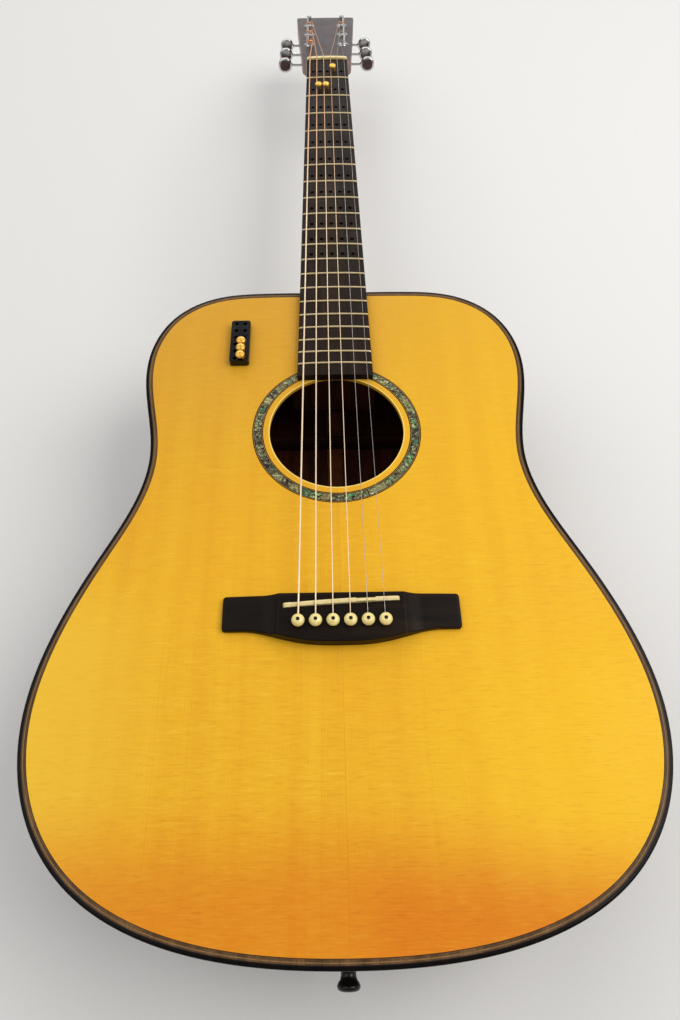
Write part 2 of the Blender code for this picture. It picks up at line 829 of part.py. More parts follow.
# The truss rod's thicker end lies inside the body.
ROD_HEAD_R = 0.0040
turned(
    "truss_rod",
    [
        (0.0, 0.0),
        (ROD_HEAD_R, 0.0),
        (ROD_HEAD_R, -0.0085),
        (ROD_R, -0.0095),
        (ROD_R, ROD_START_Y - ROD_END_Y),
        (0.0, ROD_START_Y - ROD_END_Y),
    ],
    8,
    "nickel",
    Matrix.Translation((0, ROD_START_Y, ROD_Z)) @ turn_about("X", 90),
)

# ------------------------------------------------------------------ fretboard and nut

BAR_SPANS = 4
BOARD_END_Y = 0.1911
FRET_H = 0.0010
FRET_W = 0.0022
FRET_EMBED = 0.0022  # how far a fret reaches down into the board
FRET_END_INSET = 0.0004
PEG_HOLE_R = 0.0015
PEG_HOLE_DEPTH = 0.0050
PEG_FRETS = 12  # fret spaces that carry a row of peg holes
PEG_HOLE_PART = 0.667  # hole's place in its fret space, from the nut side
NUT_Y = SCALE_LENGTH + GAP
NUT_T = 0.0055


def crowned_bar(name, y_range, halves, z_range, finish_name=None, top_part=1.0):
    """A bar across the neck with a cambered top, as a loft from bass to treble.

    The ranges and half widths go from low to high y or z; top_part narrows the top along y.
    """
    y_low, y_high = y_range
    z_low, z_high = z_range
    middle, reach = (y_low + y_high) / 2, (y_high - y_low) / 2
    sections = []
    for k in range(BAR_SPANS + 1):
        x_low, x_high = [(2 * k / BAR_SPANS - 1) * half for half in halves]
        sections.append(
            [
                (x_low, y_low, z_low),
                (x_high, y_high, z_low),
                (x_high, middle + reach * top_part, z_high + crown(x_high)),
                (x_low, middle - reach * top_part, z_high + crown(x_low)),
            ]
        )
    return loft(name, sections, finish_name)


def fret_bar(fret):
    y = fret_y(fret)
    half = board_half(y) - FRET_END_INSET
    return crowned_bar(
        "fret_%02d" % fret,
        (y - FRET_W / 2, y + FRET_W / 2),
        (half, half),
        (BOARD_TOP - FRET_EMBED, BOARD_TOP + FRET_H),
        top_part=0.45,
    )


def peg_hole(space, gap_index):
    """Centre of the hole in a fret space between strings gap_index and gap_index + 1."""
    y = fret_y(space - 1) + (fret_y(space) - fret_y(space - 1)) * PEG_HOLE_PART
    return string_x(gap_index + 0.5, y), y


def peg_hole_cutter():
    shape = bmesh.new()
    for space in range(1, PEG_FRETS + 1):
        for gap_index in range(5):
            x, y = peg_hole(space, gap_index)
            bmesh.ops.create_cone(
                shape,
                cap_ends=True,
                segments=6,
                radius1=PEG_HOLE_R,
                radius2=PEG_HOLE_R,
                depth=2 * PEG_HOLE_DEPTH,
                matrix=Matrix.Translation((x, y, BOARD_TOP)),
            )
    return add_shape("cut_peg_holes", shape)


fretboard = crowned_bar(
    "fretboard",
    (BOARD_END_Y, SCALE_LENGTH),
    (board_half(BOARD_END_Y), board_half(SCALE_LENGTH)),
    (GAP, BOARD_TOP),
    "ebony",
)
join(fretboard, *[fret_bar(fret) for fret in range(1, FRETS + 1)])
cut(fretboard, peg_hole_cutter())

crowned_bar(
    "nut",
    (NUT_Y, NUT_Y + NUT_T),
    (NUT_WIDTH / 2, NUT_WIDTH / 2),
    (GAP, STRING_Z_NUT - GAP),
    "bone",
    top_part=0.75,
)

# ------------------------------------------------------------------ bridge and saddle

BRIDGE_HALF = 0.0768
BRIDGE_FRONT_Y = 0.0076  # the edge towards the soundhole
BRIDGE_WING_BACK_Y = -0.0158
BRIDGE_CHAMFER = 0.002
# Treble half, from the middle of the soundhole side round to the middle of the tail side.
BRIDGE_HALF_OUTLINE = [
    (0.0, BRIDGE_FRONT_Y),
    (BRIDGE_HALF - BRIDGE_CHAMFER, BRIDGE_FRONT_Y),
    (BRIDGE_HALF, BRIDGE_FRONT_Y - BRIDGE_CHAMFER),
    (BRIDGE_HALF, BRIDGE_WING_BACK_Y + BRIDGE_CHAMFER),
    (BRIDGE_HALF - BRIDGE_CHAMFER, BRIDGE_WING_BACK_Y),
    (0.0610, -0.0161), (0.0530, -0.0171), (0.0440, -0.0197),
    (0.0350, -0.0222), (0.0200, -0.0243), (0.0, -0.0252),
]
SCOOP_X = 0.0400  # where the wing's scoop starts
SCOOP_LENGTH = 0.0150
SCOOP_DEPTH = 0.0046
SCOOP_CLEAR_Z = 0.0120
SCOOP_END_X = 0.0800
SCOOP_END_Z = 0.0034
SADDLE_HALF_L = 0.0375
SADDLE_HALF_T = 0.0014
SADDLE_LOW = 0.0043

# Material above each wing: x and z of the treble side.
SCOOP = [
    (SCOOP_X, SCOOP_CLEAR_Z),
    *[
        (
            SCOOP_X + SCOOP_LENGTH * (1 - math.cos(angle)),
            BRIDGE_TOP - SCOOP_DEPTH * math.sin(angle),
        )
        for angle in np.linspace(0, math.pi / 2, 6)
    ],
    (SCOOP_END_X, SCOOP_END_Z),
    (SCOOP_END_X, SCOOP_CLEAR_Z),
]
bridge_outline = BRIDGE_HALF_OUTLINE + mirror_x(BRIDGE_HALF_OUTLINE[1:-1])
bridge = plate("bridge", [bridge_outline] + PIN_HOLES, GAP, BRIDGE_TOP, "ebony")
for side, name in ((-1, "cut_wing_bass"), (1, "cut_wing_treble")):
    scoop = [(side * x, z) for x, z in SCOOP]
    cut(bridge, plate(name, [scoop], -0.05, 0.05, place=turn_about("X", 90)))

saddle_turn = Matrix.Rotation(math.atan(SADDLE_SLOPE), 4, "Z")
saddle_place = Matrix.Translation((0.0, saddle_y(0.0), 0.0)) @ saddle_turn
slot_half_l, slot_half_t = SADDLE_HALF_L + GAP, SADDLE_HALF_T + GAP
cut(
    bridge,
    box(
        "cut_saddle_slot",
        (-slot_half_l, -slot_half_t, SADDLE_LOW - GAP),
        (slot_half_l, slot_half_t, 0.0200),
        place=saddle_place,
    ),
)
saddle = crowned_bar(
    "saddle",
    (-SADDLE_HALF_T, SADDLE_HALF_T),
    (SADDLE_HALF_L, SADDLE_HALF_L),
    (SADDLE_LOW, STRING_Z_SADDLE - GAP),
    "bone",
    top_part=0.6,
)
saddle.matrix_basis = saddle_place

# ------------------------------------------------------------------ bridge pins

# Radius and height above the soundboard's face.
BRIDGE_PIN_PROFILE = [
    (0.0, 0.0147), (0.0024, 0.0144), (0.0038, 0.0133), (0.0042, 0.0122), (0.0040, 0.0112),
    (0.0030, 0.0108), (0.0023, 0.0103), (0.0018, -0.0120), (0.0, -0.0132),
]
for x, label in zip(PIN_X, STRING_NAMES):
    place = Matrix.Translation((x, PIN_Y, 0.0))
    smooth(turned("bridge_pin_" + label, BRIDGE_PIN_PROFILE, 10, "pin_plastic", place))

# ------------------------------------------------------------------ strings

STRING_HOLE_Y = PIN_Y + 0.0032  # the string rises in the notch of its pin hole
BALL_R = 0.00115
BALL_LOW, BALL_HIGH = -0.0090, -0.0066
SADDLE_CREST = 0.0009  # half the run of the string over the saddle
NUT_RUN = 0.0040  # run of the string over the nut


def string_path(i):
    """Points of one string's centre line, each with its radius factor, ball to post."""
    radius = STRING_R[i]
    x = PIN_X[i]
    across, along = POSTS[i]
    side = math.copysign(1.0, across)
    on_post = head_point(
        across - side * (COIL_R + radius + GAP), along - 0.0020, COIL_HEIGHT
    )
    x_saddle = string_x(i, 0.0)
    y_saddle = saddle_y(x_saddle)
    z_saddle = string_bottom(i, 0.0) + radius
    y_nut = SCALE_LENGTH + 0.0012
    x_nut = string_x(i, y_nut)
    z_nut = string_bottom(i, y_nut) + radius
    ball = BALL_R / radius
    return [
        ((x, STRING_HOLE_Y, BALL_LOW), ball),
        ((x, STRING_HOLE_Y, BALL_HIGH), ball),
        ((x, STRING_HOLE_Y, BALL_HIGH + 0.0004), 1.0),
        ((x, STRING_HOLE_Y, BRIDGE_TOP + radius - 0.0002), 1.0),
        ((x * 0.998, STRING_HOLE_Y + 0.0011, BRIDGE_TOP + radius + 0.0004), 1.0),
        ((x_saddle, y_saddle - SADDLE_CREST, z_saddle), 1.0),
        ((x_saddle, y_saddle + SADDLE_CREST, z_saddle), 1.0),
        ((x_nut, y_nut, z_nut), 1.0),
        ((x_nut, y_nut + NUT_RUN, z_nut - 0.0001), 1.0),
        (tuple(on_post), 1.0),
    ]


def add_string(i):
    name = "string_" + STRING_NAMES[i]
    data = bpy.data.curves.new(name, "CURVE")
    data.dimensions = "3D"
    data.bevel_depth = STRING_R[i]
    data.bevel_resolution = 1
    data.use_fill_caps = True
    path = string_path(i)
    spline = data.splines.new("POLY")
    spline.points.add(len(path) - 1)
    for point, (position, factor) in zip(spline.points, path):
        point.co = (*position, 1.0)
        point.radius = factor
    wire = bpy.data.objects.new(name, data)
    GUITAR.objects.link(wire)
    wire.parent = DATUM
    data.materials.append(finish("bronze_wound" if i < WOUND_STRINGS else "plain_steel"))


for i in range(len(STRING_NAMES)):
    add_string(i)

# ------------------------------------------------------------------ tuning machines

PLATE_TOP = -HEAD_T - GAP
PLATE_LOW = PLATE_TOP - 0.0012
PLATE_IN = 0.0085  # plate's edges, from the line of posts
PLATE_OUT = 0.0068
EAR_INSET = 0.0012  # middle of an ear, from the plate's edge
EAR_HALF_T = 0.0010
EAR_HALF_L = 0.0034
EAR_DROP = 0.0030  # below the worm axis
GEAR_R = 0.0052
WORM_R = 0.0024
WORM_SHAFT_R = 0.0015
WORM_BORE_R = 0.0021
WORM_OUT = -0.0208  # worm axis, below the headstock's face
WORM_OFFSET = GEAR_R + WORM_R + 0.0004  # worm axis beside the post, towards the tip
BUTTON_START = 0.0420  # from the centre line
BUTTON_HALF_L = 0.0082
BUTTON_HALF_W = 0.0078
BUTTON_HALF_T = 0.0029
POST_TOP = 0.0128
POST_WAIST_R = 0.0026
# Radius and height out of the headstock's face, with the gear at the foot.
POST_PROFILE = [
    (0.0, POST_TOP),
    (POST_WAIST_R, POST_TOP),
    (POST_R, POST_TOP - 0.0008),
    (POST_WAIST_R, COIL_HEIGHT + 0.0030),
    (COIL_R, COIL_HEIGHT + 0.0018),
    (COIL_R, COIL_HEIGHT - 0.0018),
    (POST_R, COIL_HEIGHT - 0.0030),
    (POST_R, PLATE_LOW - GAP),
    (GEAR_R, PLATE_LOW - GAP),
    (GEAR_R, PLATE_LOW - 0.0052),
    (0.0, PLATE_LOW - 0.0060),
]


def beside_posts(side, along, shift):
    """Distance across at a shift outward from one side's slanting line of posts."""
    lean = POST_SPLAY / POST_PITCH
    return side * (POST_ACROSS[0] + lean * (along - POST_ALONG[0]) + shift)


def plate_ear(name, side, along, shift):
    centre = beside_posts(side, along, shift)
    return box(
        name,
        (centre - EAR_HALF_T, along - EAR_HALF_L, WORM_OUT - EAR_DROP),
        (centre + EAR_HALF_T, along + EAR_HALF_L, PLATE_LOW + 0.0005),
        place=head_matrix(),
    )


def tuner_plate(name, side):
    """The base under one row of posts, with a pair of bored ears for each worm."""
    start, end = POST_ALONG[0] - 0.011, POST_ALONG[-1] + 0.016
    corners = [
        (beside_posts(side, along, shift), along)
        for along, shift in (
            (start, -PLATE_IN),
            (start, PLATE_OUT),
            (end, PLATE_OUT),
            (end, -PLATE_IN),
        )
    ]
    holes = [post_hole(side * across, along) for across, along in TREBLE_POSTS]
    base = plate(name, [corners] + holes, PLATE_LOW, PLATE_TOP, "nickel", head_matrix())
    for k, post_along in enumerate(POST_ALONG):
        along = post_along + WORM_OFFSET
        join(
            base,
            plate_ear("%s_ear_%d_in" % (name, k), side, along, EAR_INSET - PLATE_IN),
            plate_ear("%s_ear_%d_out" % (name, k), side, along, PLATE_OUT - EAR_INSET),
        )
        cut(
            base,
            round_bar(
                "cut_%s_bore_%d" % (name, k),
                head_point(side * 0.002, along, WORM_OUT),
                head_point(side * 0.050, along, WORM_OUT),
                WORM_BORE_R,
                8,
            ),
        )


def tuner_button(label, across, along):
    """Worm, shaft and oval button, turned on an axis that points away from the centre."""
    side = math.copysign(1.0, across)
    reach = abs(across)
    shaft_start = reach - PLATE_IN - 0.0002
    place = head_matrix(0.0, along + WORM_OFFSET, WORM_OUT) @ turn_about("Y", 90 * side)
    key = turned(
        "tuner_button_" + label,
        [
            (0.0, BUTTON_START + 0.004),
            (WORM_SHAFT_R, BUTTON_START + 0.004),
            (WORM_SHAFT_R, reach + 0.0039),
            (WORM_R, reach + 0.0034),
            (WORM_R, reach - 0.0042),
            (WORM_SHAFT_R, reach - 0.0047),
            (WORM_SHAFT_R, shaft_start),
            (0.0, shaft_start),
        ],
        8,
        "nickel",
        place,
    )
    middle = BUTTON_START + BUTTON_HALF_L
    angles = [2 * math.pi * k / 14 for k in range(14)]
    oval = [
        (BUTTON_HALF_W * math.cos(angle), middle + BUTTON_HALF_L * math.sin(angle))
        for angle in angles
    ]
    knob = plate(
        "knob_" + label,
        [oval],
        -BUTTON_HALF_T,
        BUTTON_HALF_T,
        place=place @ turn_about("X", 90),
    )
    join(key, knob)


tuner_plate("tuner_plate_bass", -1)
tuner_plate("tuner_plate_treble", 1)
for label, (across, along) in zip(STRING_NAMES, POSTS):
    place = head_matrix(across, along)
    smooth(turned("tuner_post_" + label, POST_PROFILE, 10, "nickel", place))
    tuner_button(label, across, along)

# ------------------------------------------------------------------ end pin

# Radius and distance out of the tail.
END_PIN_PROFILE = [
    (0.0, END_PIN_OUT), (0.0050, END_PIN_OUT), (0.0068, 0.0125), (0.0068, 0.0105),
    (0.0050, 0.0085), (0.0045, 0.0050), (0.0066, 0.0015), (0.0066, GAP),
    (0.0041, GAP), (0.0036, -0.0280), (0.0, -0.0280),
]
end_pin_place = Matrix.Translation((0, TAIL_Y, END_PIN_Z)) @ turn_about("X", 90)
smooth(turned("end_pin", END_PIN_PROFILE, 12, "ebony", end_pin_place))

# ------------------------------------------------------------------ chord pegs

PEG_STEM_R = 0.00115
PEG_FOOT_R = 0.0011
PEG_FOOT_H = 0.0014
PEG_HEAD_R = 0.00365
PEG_HEAD_T = 0.0024
PEG_HEAD_SHIFT = -0.0020  # the round head sits eccentrically, over its string
PEG_FOOT_X = -0.0040
PEG_STEM = 0.0084  # from the head's underside to the stem's end
PEG_OVERLAP = 0.0006  # stem and foot reach up into the head


def chord_peg(name, x, y, bottom):
    """A round head off to one side of its stem, with a small foot that reaches down."""
    under = bottom + PEG_STEM
    top = under + PEG_HEAD_T
    peg = turned(
        name,
        [
            (0.0, top),
            (PEG_HEAD_R - 0.0008, top),
            (PEG_HEAD_R, top - 0.0007),
            (PEG_HEAD_R, under + 0.0004),
            (PEG_HEAD_R - 0.0004, under),
            (0.0, under),
        ],
        12,
        "brass_peg",
        Matrix.Translation((x + PEG_HEAD_SHIFT, y, 0.0)),
    )
    for part, part_x, low, radius in (
        ("_stem", x, bottom, PEG_STEM_R),
        ("_foot", x + PEG_FOOT_X, under - PEG_FOOT_H, PEG_FOOT_R),
    ):
        high = under + PEG_OVERLAP
        join(peg, round_bar(name + part, (part_x, y, low), (part_x, y, high), radius, 8))
    smooth(peg)


for name, space, gap_index in (
    ("chord_peg_g_string", 1, 3),
    ("chord_peg_a_string", 2, 1),
    ("chord_peg_d_string", 2, 2),
):
    x, y = peg_hole(space, gap_index)
    chord_peg(name, x, y, BOARD_TOP - PEG_HOLE_DEPTH + 0.0012)

# ------------------------------------------------------------------ peg holder

HOLDER_X = -0.0764
HOLDER_Y = 0.2290
HOLDER_W = 0.0157
HOLDER_L = 0.0443
HOLDER_TOP = GAP + 0.0057
HOLDER_CORNER_R = 0.0022
HOLDER_COLUMNS = (-0.0034, 0.0034)
HOLDER_ROWS = [0.0182 - 0.0074 * k for k in range(6)]
HOLDER_HOLE_LOW = HOLDER_TOP - 0.0054

holder_outline = rounded_rectangle(
    HOLDER_X, HOLDER_Y, HOLDER_W, HOLDER_L, HOLDER_CORNER_R
)
holder = plate("peg_holder", [holder_outline], GAP, HOLDER_TOP, "black_plastic")
for column_x in HOLDER_COLUMNS:
    for row_y in HOLDER_ROWS:
        x, y = HOLDER_X + column_x, HOLDER_Y + row_y
        hole = round_bar(
            "cut_holder_hole_%+.1f_%+.1f" % (1000 * column_x, 1000 * row_y),
            (x, y, HOLDER_HOLE_LOW),
            (x, y, HOLDER_TOP + 0.0045),
            PEG_HOLE_R,
            8,
        )
        cut(holder, hole)

# Spare pegs stand in the tail half of the treble-side column.
for row_y, label in zip(HOLDER_ROWS[3:], "123"):
    chord_peg(
        "spare_peg_" + label,
        HOLDER_X + HOLDER_COLUMNS[1],
        HOLDER_Y + row_y,
        HOLDER_HOLE_LOW + GAP,
    )

bpy.context.view_layer.update()
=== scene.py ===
"""Looks of a steel-string acoustic guitar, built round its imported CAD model.

Shapes are worked out in the guitar's own frame: soundboard face at z = 0, saddle line at
y = 0, +y to the headstock, +x to the treble side, metres. SHIFT moves them into the frame
of the CAD nodes.
"""

import json
from math import asin, atan, copysign, cos, exp, pi, radians, sin, sqrt
import bmesh
import bpy
import numpy as np
from mathutils import Matrix, Vector
from numpy import linspace

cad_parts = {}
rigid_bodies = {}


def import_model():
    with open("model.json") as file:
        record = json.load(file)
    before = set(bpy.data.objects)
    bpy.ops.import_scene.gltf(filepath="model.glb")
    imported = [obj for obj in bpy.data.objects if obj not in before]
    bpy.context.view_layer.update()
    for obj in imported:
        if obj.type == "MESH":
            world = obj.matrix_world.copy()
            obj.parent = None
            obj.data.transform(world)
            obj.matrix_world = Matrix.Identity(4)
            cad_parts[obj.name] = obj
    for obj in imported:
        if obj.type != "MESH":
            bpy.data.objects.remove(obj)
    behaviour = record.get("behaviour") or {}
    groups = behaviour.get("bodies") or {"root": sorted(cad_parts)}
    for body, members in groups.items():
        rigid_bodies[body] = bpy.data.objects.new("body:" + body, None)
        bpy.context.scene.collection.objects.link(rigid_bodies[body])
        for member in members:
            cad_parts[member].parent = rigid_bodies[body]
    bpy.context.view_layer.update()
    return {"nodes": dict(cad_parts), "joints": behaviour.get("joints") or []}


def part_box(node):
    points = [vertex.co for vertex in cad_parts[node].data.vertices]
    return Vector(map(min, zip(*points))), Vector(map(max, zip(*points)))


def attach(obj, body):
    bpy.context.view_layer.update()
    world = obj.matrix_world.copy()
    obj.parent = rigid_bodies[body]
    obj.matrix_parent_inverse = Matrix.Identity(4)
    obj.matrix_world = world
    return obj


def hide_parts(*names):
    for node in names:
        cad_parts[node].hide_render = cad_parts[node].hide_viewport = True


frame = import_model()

# ------------------------------------------------------------------ shared dimensions
SCALE_LENGTH = 0.6452  # saddle line to nut
GAP = 0.0003  # clearance between fitted parts

TOP_THICK = 0.0029
BACK_THICK = 0.0028
SIDE_THICK = 0.0021
TEMPLATE_INSET = 0.0044  # BODY_TEMPLATE lies this far inside the outer edge
TOP_INSET = 0.0056  # edge of the spruce from the outer edge
BINDING_WIDTH = 0.0021
BINDING_HEIGHT = 0.0060
DEPTH_NECK = 0.100
DEPTH_TAIL = 0.122
BACK_RADIUS = 4.57
END_PIN_Z = -0.060
SOUNDHOLE_Y = 0.1428
SOUNDHOLE_RADIUS = 0.0506

NUT_WIDTH = 0.0443
BOARD_Z = 0.0066  # crown of the fretboard
BOARD_RADIUS = 0.406

STRING_NAMES = ("e6", "a5", "d4", "g3", "b2", "e1")  # bass to treble
STRING_RADIUS = (0.000670, 0.000530, 0.000405, 0.000305, 0.000205, 0.000155)
SPREAD_NUT = 0.0375
SPREAD_SADDLE = 0.0547
SPREAD_PINS = 0.0553
STRING_Z_NUT = 0.0081
STRING_Z_SADDLE = 0.0121

PIN_Y = -0.0123
PIN_HOLE_RADIUS = 0.00275
NOTCH_HALF = 0.00105  # string notch of a pin hole
NOTCH_END = 0.0043

HEAD_TILT = radians(12.5)
HEAD_LENGTH = 0.190
HEAD_THICK = 0.0145
HEAD_START_Y = 0.6518
POST_ALONG = (0.066, 0.107, 0.148)
POST_X = (0.0196, 0.0200, 0.0204)
POST_RADIUS = 0.0030

# Treble half of the body's outline, tail to neck: x, y.
BODY_TEMPLATE = (
    (0.000, -0.1918), (0.060, -0.1883), (0.110, -0.1765), (0.150, -0.1546),
    (0.175, -0.1255), (0.1873, -0.0930), (0.1898, -0.0620), (0.1828, -0.0215),
    (0.1612, 0.0343), (0.1410, 0.0813), (0.1344, 0.1180), (0.1410, 0.1660),
    (0.1463, 0.2050), (0.1415, 0.2370), (0.1280, 0.2608), (0.1010, 0.2786),
    (0.062, 0.2841), (0.000, 0.2842),
)

SHIFT = Vector((0.0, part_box("fretboard")[1].y - SCALE_LENGTH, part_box("soundboard")[1].z))
ROOT = "guitar_body"
for joint in frame["joints"]:
    if joint["child"] == "truss_rod":
        ROOT = joint["parent"]

# ------------------------------------------------------------------ shader building
MATERIALS = {}


def linear(colour):
    """sRGB bytes as linear RGBA."""
    parts = [part / 255.0 for part in colour]
    return (*(v / 12.92 if v <= 0.04045 else ((v + 0.055) / 1.055) ** 2.4 for v in parts), 1.0)


class Wire:
    """The output of a shader node, with the sums and curves that can follow it."""

    def __init__(self, paint, socket):
        self.paint = paint
        self.socket = socket

    def math(self, operation, other=0.0):
        return self.paint.node("Math", (self, other, 0.0), operation=operation)

    def __add__(self, other):
        return self.math("ADD", other)

    def __sub__(self, other):
        return self.math("SUBTRACT", other)

    def __mul__(self, other):
        return self.math("MULTIPLY", other)

    def __abs__(self):
        return self.math("ABSOLUTE")

    def step(self, low, high, before=0.0, after=1.0, curve="SMOOTHSTEP"):
        """Eases from before, up to low, to after, from high on."""
        return self.paint.node(
            "MapRange", (self, low, high, before, after), interpolation_type=curve, clamp=True
        )

    def spread(self, low, high):
        """The middle of a noise stretched over low to high."""
        return self.step(0.3, 0.7, low, high)

    def ramp(self, low, high, stops):
        """Colours for the values from low to high; stops are (place from 0 to 1, colour)."""
        wire = self.paint.node("ValToRGB", (self.step(low, high, curve="LINEAR"),))
        elements = wire.socket.node.color_ramp.elements
        while len(elements) < len(stops):
            elements.new(0.5)
        for element, (place, colour) in zip(elements, stops):
            element.position = place
            element.color = linear(colour)
        return wire

    def mix(self, factor, other, blend="MIX"):
        return self.paint.mix(factor, self, other, blend)


class Paint:
    """A Principled material, with the guitar's own x, y and z as wires."""

    def __init__(self, name):
        material = MATERIALS[name] = bpy.data.materials.new(name)
        material.use_nodes = True
        self.tree = material.node_tree
        self.tree.nodes.clear()
        output = self.tree.nodes.new("ShaderNodeOutputMaterial")
        self.shader = self.tree.nodes.new("ShaderNodeBsdfPrincipled")
        self.tree.links.new(self.shader.outputs[0], output.inputs[0])
        coords = self.node("TexCoord", output="Object")
        place = self.node("VectorMath", (coords, SHIFT), operation="SUBTRACT")
        split = self.node("SeparateXYZ", (place,)).socket.node
        self.x, self.y, self.z = (Wire(self, socket) for socket in split.outputs)

    def feed(self, socket, value):
        if isinstance(value, Wire):
            self.tree.links.new(value.socket, socket)
        elif isinstance(value, tuple) and socket.type == "RGBA":
            socket.default_value = linear(value)
        else:
            socket.default_value = value

    def node(self, kind, inputs=(), output=0, **settings):
        """Adds a node; inputs are in order, or a dict by index or name."""
        node = self.tree.nodes.new("ShaderNode" + kind)
        for key, value in settings.items():
            setattr(node, key, value)
        for key, value in inputs.items() if isinstance(inputs, dict) else enumerate(inputs):
            self.feed(node.inputs[key], value)
        return Wire(self, node.outputs[output])

    def noise(self, x, y, z, detail=3.0, rough=0.5, distortion=0.0):
        inputs = {"Vector": self.node("CombineXYZ", (x, y, z)), "Scale": 1.0, "Detail": detail,
                  "Roughness": rough, "Distortion": distortion}
        return self.node("TexNoise", inputs)

    def speckle(self, along_x, along_y, along_z, **look):
        """Noise with the given number of features to the metre along each axis."""
        return self.noise(self.x * along_x, self.y * along_y, self.z * along_z, **look)

    def cell_edges(self, x, y, z):
        """Distance to the edge of a Voronoi cell."""
        inputs = {"Vector": self.node("CombineXYZ", (x, y, z)), "Scale": 1.0}
        return self.node("TexVoronoi", inputs, output="Distance", feature="DISTANCE_TO_EDGE")

    def random(self, value):
        return self.node("TexWhiteNoise", {"W": value}, output="Value", noise_dimensions="1D")

    def mix(self, factor, first, second, blend="MIX"):
        return self.node("Mix", {0: factor, 6: first, 7: second}, output=2,
                         data_type="RGBA", blend_type=blend, clamp_factor=True)

    def bump(self, height, depth, strength):
        inputs = {"Strength": strength, "Distance": depth, "Height": height}
        self.feed(self.shader.inputs["Normal"], self.node("Bump", inputs))

    def set(self, **values):
        for name, value in values.items():
            self.feed(self.shader.inputs[name.replace("_", " ")], value)


# ------------------------------------------------------------------ materials
BLACK = (0, 0, 0)


def timber(name, along, size, rough, coat, coat_rough, pores, specular, colours, mirrored=False):
    """Wood with broad streaks, fine grain and short pores along one axis."""
    paint = Paint(name)
    x, y = abs(paint.x) if mirrored else paint.x, paint.y
    fast = 60.0 / size  # streaks to the metre across the grain
    slow = fast / 28.0
    speed = [slow if axis == along else fast for axis in "xyz"]
    waver = paint.speckle(9, 9, 9) * 0.006
    if along == "x":
        y = y + waver
    else:
        x = x + waver

    def grain(times, **look):
        across, lengthwise, deep = (times * rate for rate in speed)
        return paint.noise(x * across, y * lengthwise, paint.z * deep, **look)

    broad = grain(1, detail=5.0, rough=0.6, distortion=0.7)
    fine = grain(9, detail=3.0, rough=0.6)
    pits = paint.speckle(*[(26 if rate == fast else 60) * rate for rate in speed], detail=2.0)
    pit = pits.step(0.60, 0.72)
    places = {2: (0, 1), 3: (0, 0.5, 1), 4: (0, 0.35, 0.65, 1)}[len(colours)]
    colour = broad.ramp(0.26, 0.74, list(zip(places, colours)))
    colour = colour.mix(fine.step(0.35, 0.75), colour.mix(0.32, BLACK))
    colour = colour.mix(pit * pores, colour.mix(0.65, BLACK))
    paint.bump(fine * 0.5 - pit * 0.8, depth=0.00004, strength=0.7)
    wear = paint.speckle(35, 35, 35, detail=4.0, rough=0.65)
    paint.set(Base_Color=colour, Roughness=wear.spread(*rough), Coat_Weight=coat,
              Coat_Roughness=coat_rough, Specular_IOR_Level=specular)


def metal(name, colour, dull, rough, wear, brushed, metallic, nut_end_colour=None):
    """Metal with fine marks and tarnish; nut_end_colour, if given, is its colour towards the nut.
    """
    paint = Paint(name)
    marks = paint.speckle(brushed, brushed * 0.12, brushed, detail=2.0, rough=0.6)
    patch = paint.speckle(160, 160, 160, detail=4.0, rough=0.6, distortion=0.5)
    shade = paint.mix(patch.step(0.48, 0.78, after=0.55), colour, dull)
    if nut_end_colour:
        shade = shade.mix(paint.y.step(0.30, 0.62, after=0.75), nut_end_colour)
    paint.bump(marks * 0.3 + patch * 0.5, depth=0.00002, strength=0.5)
    polish = patch * 0.7 + marks * 0.3
    paint.set(Base_Color=shade, Metallic=metallic, Roughness=polish.spread(rough, rough + wear))


